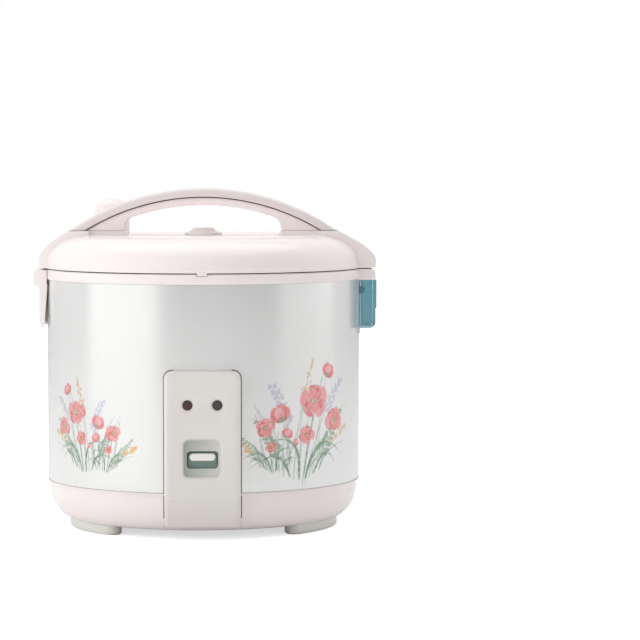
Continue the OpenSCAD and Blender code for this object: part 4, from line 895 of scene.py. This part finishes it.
def screwTree():
    # cross-slotted screw on each point, head towards the given side of Z
    tree, given, finish = nodeTree("screws", (
        "Head Radius", "Head Top", "Head Height", "Slot Width", "Slot Length", "Shank Radius", "Shank"),
        [("Turn", "Vector")])
    height = given["Head Height"]
    head = addNode(tree, "GeometryNodeMeshCone", {
        "Vertices": screw["headSides"], "Side Segments": 1, "Radius Top": given["Head Top"],
        "Radius Bottom": given["Head Radius"], "Depth": height})
    cut = addNode(tree, "GeometryNodeMeshBoolean", {"Mesh 1": head.outputs[0]},
                  operation="DIFFERENCE", solver="EXACT")
    for wide, deep in (("Slot Width", "Slot Length"), ("Slot Length", "Slot Width")):
        bar = addNode(tree, "GeometryNodeMeshCube", {"Size": vector(tree, given[wide], given[deep], height)})
        wire(tree, cut, {"Mesh 2": shifted(tree, bar.outputs[0], vector(tree, z=height))})
    shank = addNode(tree, "GeometryNodeMeshCylinder", {
        "Vertices": screw["shankSides"], "Radius": given["Shank Radius"], "Depth": given["Shank"]})
    drop = vector(tree, z=maths(tree, "MULTIPLY", given["Shank"], -0.5))
    whole = addNode(tree, "GeometryNodeJoinGeometry", {0: shifted(tree, shank.outputs[0], drop)})
    wire(tree, whole, {0: cut.outputs[0]})
    turned = addNode(tree, "FunctionNodeEulerToRotation", {"Euler": given["Turn"]})
    spread = addNode(tree, "GeometryNodeInstanceOnPoints", {
        "Points": given["Geometry"], "Instance": whole.outputs[0], "Rotation": turned.outputs[0]})
    return finishTree(tree, spread.outputs[0], given, finish)


upright = Matrix.Rotation(math.radians(90), 4, "X")   # turns a piece made flat to stand in X and Z
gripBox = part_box("handle_grip")
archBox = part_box("handle_arch")
gripRise = gripBox[1].z - gripBox[0].z
gripRadius = (gripBox[1].x ** 2 + gripRise ** 2) / (2 * gripRise)
arcHeight = gripBox[1].z - gripRadius
seamRadius = archBox[1].z - arcHeight
seatHeight = gripBox[0].z - arcHeight


def buildGrip():
    obj = grown("handleGripSkin", gripTree(), {
        "Radius": seamRadius, "Half Angle": math.radians(grip["halfAngle"]),
        "Width": gripBox[1].y - gripBox[0].y, "Thickness": gripRadius - seamRadius,
        "Lower Edge": grip["lowerEdge"] * mm, "Upper Edge": grip["upperEdge"] * mm,
        "Seat": seatHeight}, finishes["grip_plastic"])
    obj.data.transform(Matrix.Translation((0, 0, arcHeight)) @ upright)
    obj = softened(obj, grip["endRound"], grip["sharp"])
    markSharp(obj.data, skin["sharp"])
    finished(obj, "lid", ["handle_grip"])
    print("grip")


seams = {
    # mm; height of the painted shadow lines under the grip and at its ends, and of the pale ones on the
    # sheet
    "grip": 0.9, "gripEnd": 0.8, "sheetLow": 0.32, "sheetHigh": 0.4,
    "sheetWidth": 0.4, "sunk": 0.1, "gripSteps": 81, "sheetSteps": 193,
    # the painted shadow line round the panel: its width, its gap, its corner, how far it stands out and goes
    # in
    "panel": 0.75, "gap": 0.02, "corner": 6.5, "proud": 0.12, "deep": 0.5,
    "sideSteps": 60, "skipped": 4, "cornerSteps": 12,
}


def buildSeams():
    tree = sweepTree()
    # dark strips along the grip's underside at the arch's faces: painted shadow where the grip overhangs the
    # arch
    size = seams["grip"] * mm
    angle = math.acos(seatHeight / seamRadius)
    for sign, label in ((-1, "Front"), (1, "Rear")):
        obj = grown("gripShadowLine" + label, tree, {
            "Radius": seamRadius - size / 2, "Start": math.pi / 2 - angle, "Sweep": 2 * angle,
            "Width": size, "Height": size / 2, "Steps": seams["gripSteps"]}, finishes["seam_shadow"])
        side = archBox[1].y + seams["sunk"] * mm
        obj.data.transform(Matrix.Translation((0, sign * side, arcHeight)) @ upright)
        finished(obj, "lid")
    for level, label in ((shellLow, "Low"), (shellHigh, "High")):
        obj = grown("sheetSeam" + label, tree, {
            "Radius": shellRadius - seams["sunk"] * mm, "Start": 0.0, "Sweep": 2 * math.pi,
            "Width": seams["sheetWidth"] * mm, "Height": seams["sheet" + label] * mm,
            "Steps": seams["sheetSteps"]}, finishes["seam_pale"])
        obj.data.transform(Matrix.Translation((0, 0, level)))
        finished(obj, "cooker")


def buildGripEndShadows():
    # painted shadow line where each end of the grip meets the lid
    inner = math.sqrt(seamRadius ** 2 - seatHeight ** 2)
    mesh = bpy.data.meshes.new("gripEndShadows")
    size = Matrix.Diagonal((gripBox[1].x - inner, 2 * seams["proud"] * mm, seams["gripEnd"] * mm, 1))
    with editing(mesh) as work:
        for x in (-1, 1):
            for y in (-1, 1):
                place = Matrix.Translation((x * (inner + gripBox[1].x) / 2, y * gripBox[1].y, gripBox[0].z))
                bmesh.ops.create_cube(work, size=1, matrix=place @ size)
    mesh.materials.append(finishes["seam_shadow"])
    finished(link(bpy.data.objects.new("gripEndShadows", mesh)), "lid")


def drape(x, z, trees):
    # y of the front surface at a place of the front view
    hits = [tree.ray_cast(Vector((x, -1, z)), Vector((0, 1, 0)))[0] for tree in trees]
    return min((h.y for h in hits if h is not None), default=None)


def buildPanelShadowLine():
    # painted shadow line on the sheet and the base round the panel's outline
    trees = []
    for name in ("outer_shell", "base_tray"):
        mesh = frame["nodes"][name].data
        corners = [v.co.copy() for v in mesh.vertices]
        trees.append(BVHTree.FromPolygons(corners, [p.vertices[:] for p in mesh.polygons]))
    half, top, low = panelBox[1].x, panelBox[1].z, panelBox[0].z
    corner = seams["corner"] * mm
    rise = top - corner - low
    steps = seams["sideSteps"]

    def outline(gap):
        path = [(-half - gap, low + rise * t / steps) for t in range(seams["skipped"], steps)]
        reach = corner + gap
        for k in range(seams["cornerSteps"] + 1):
            a = math.pi - math.pi / 2 * k / seams["cornerSteps"]
            path.append((-half + corner + reach * math.cos(a), top - corner + reach * math.sin(a)))
        return path + [(-x, z) for x, z in reversed(path)]

    front, back = -seams["proud"] * mm, seams["deep"] * mm
    points = []
    for (x0, z0), (x1, z1) in zip(outline(seams["gap"] * mm), outline(seams["panel"] * mm)):
        y0, y1 = drape(x0, z0, trees), drape(x1, z1, trees)
        if y0 is not None and y1 is not None:
            points += [(x0, y0 + front, z0), (x1, y1 + front, z1), (x1, y1 + back, z1), (x0, y0 + back, z0)]
    last = len(points) - 4
    faces = []
    for i in range(0, last, 4):
        for k in range(4):
            a, b = i + k, i + (k + 1) % 4
            faces.append((a, b, b + 4, a + 4))
    faces += [(3, 2, 1, 0), (last, last + 1, last + 2, last + 3)]
    obj = meshObject("panelShadowLine", points, faces, finishes["seam_shadow"])
    finished(outward(obj), "cooker")


# sizes of the lamps' rims in mm, and the steps round one
rim = {"width": 1.0, "round": 0.3, "proud": 0.3, "shoulder": 0.18, "deep": 0.4, "room": 0.05, "steps": 48}


def buildLampRims():
    # dark rim round each lens, let into the panel
    profile = ((0, rim["deep"]), (0, -rim["shoulder"]), (rim["round"], -rim["proud"]),
               (rim["width"] - rim["round"], -rim["proud"]), (rim["width"], -rim["shoulder"]),
               (rim["width"], rim["deep"]))
    face = panelBox[0].y + rim["proud"] * mm
    n, steps = len(profile), rim["steps"]
    for name in ("cook_lamp_lens", "warm_lamp_lens"):
        low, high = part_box(name)
        cx, cz = (low.x + high.x) / 2, (low.z + high.z) / 2
        outer = (high.x - low.x) / 2 + rim["room"] * mm
        points, faces = [], []
        for k in range(steps):
            a = 2 * math.pi * k / steps
            for inward, depth in profile:
                r = outer - inward * mm
                points.append((cx + r * math.cos(a), face + depth * mm, cz + r * math.sin(a)))
            here, there = k * n, (k + 1) % steps * n
            for i in range(n):
                after = (i + 1) % n
                faces.append((here + i, here + after, there + after, there + i))
        obj = meshObject(name.split("_")[0] + "LampRim", points, faces, finishes["lamp_rim"])
        finished(outward(obj), "cooker")


def buildScrews():
    tree = screwTree()
    height = screw["height"] * mm
    for kind, body, flip in (("case", "cooker", math.pi), ("lid", "lid", 0.0)):
        own = screw[kind]
        low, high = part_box(kind + "_screws")
        head = own["head"] * mm
        if flip:   # four that point up, heads below
            level = low.z + height
            shank = high.z - level
            reach = high.x - head
            points = [(x * reach, y * reach, level) for x in (-1, 1) for y in (-1, 1)]
        else:   # two that point down
            level = high.z - height
            shank = level - low.z
            points = [((low.x + high.x) / 2, y, level) for y in (low.y + head, high.y - head)]
        obj = grown(kind + "ScrewSkin", tree, {
            "Head Radius": head, "Head Top": own["top"] * mm, "Head Height": height,
            "Slot Width": screw["slotWidth"] * mm, "Slot Length": screw["slotLength"] * mm,
            "Shank Radius": own["shank"] * mm, "Shank": shank,
            "Turn": (flip, 0.0, math.radians(own["turn"]))}, finishes["spring_steel"], points)
        markSharp(obj.data, skin["sharp"])
        finished(obj, body, [kind + "_screws"])


buildShell()
dressNodes()
buildSensorSpring()
buildGrip()
buildSeams()
buildGripEndShadows()
buildPanelShadowLine()
print("seams")
buildLampRims()
buildScrews()
print("lamp rims and screws")
buildStudio()
buildCamera()
bpy.context.scene.view_settings.view_transform = "Standard"

print("built")
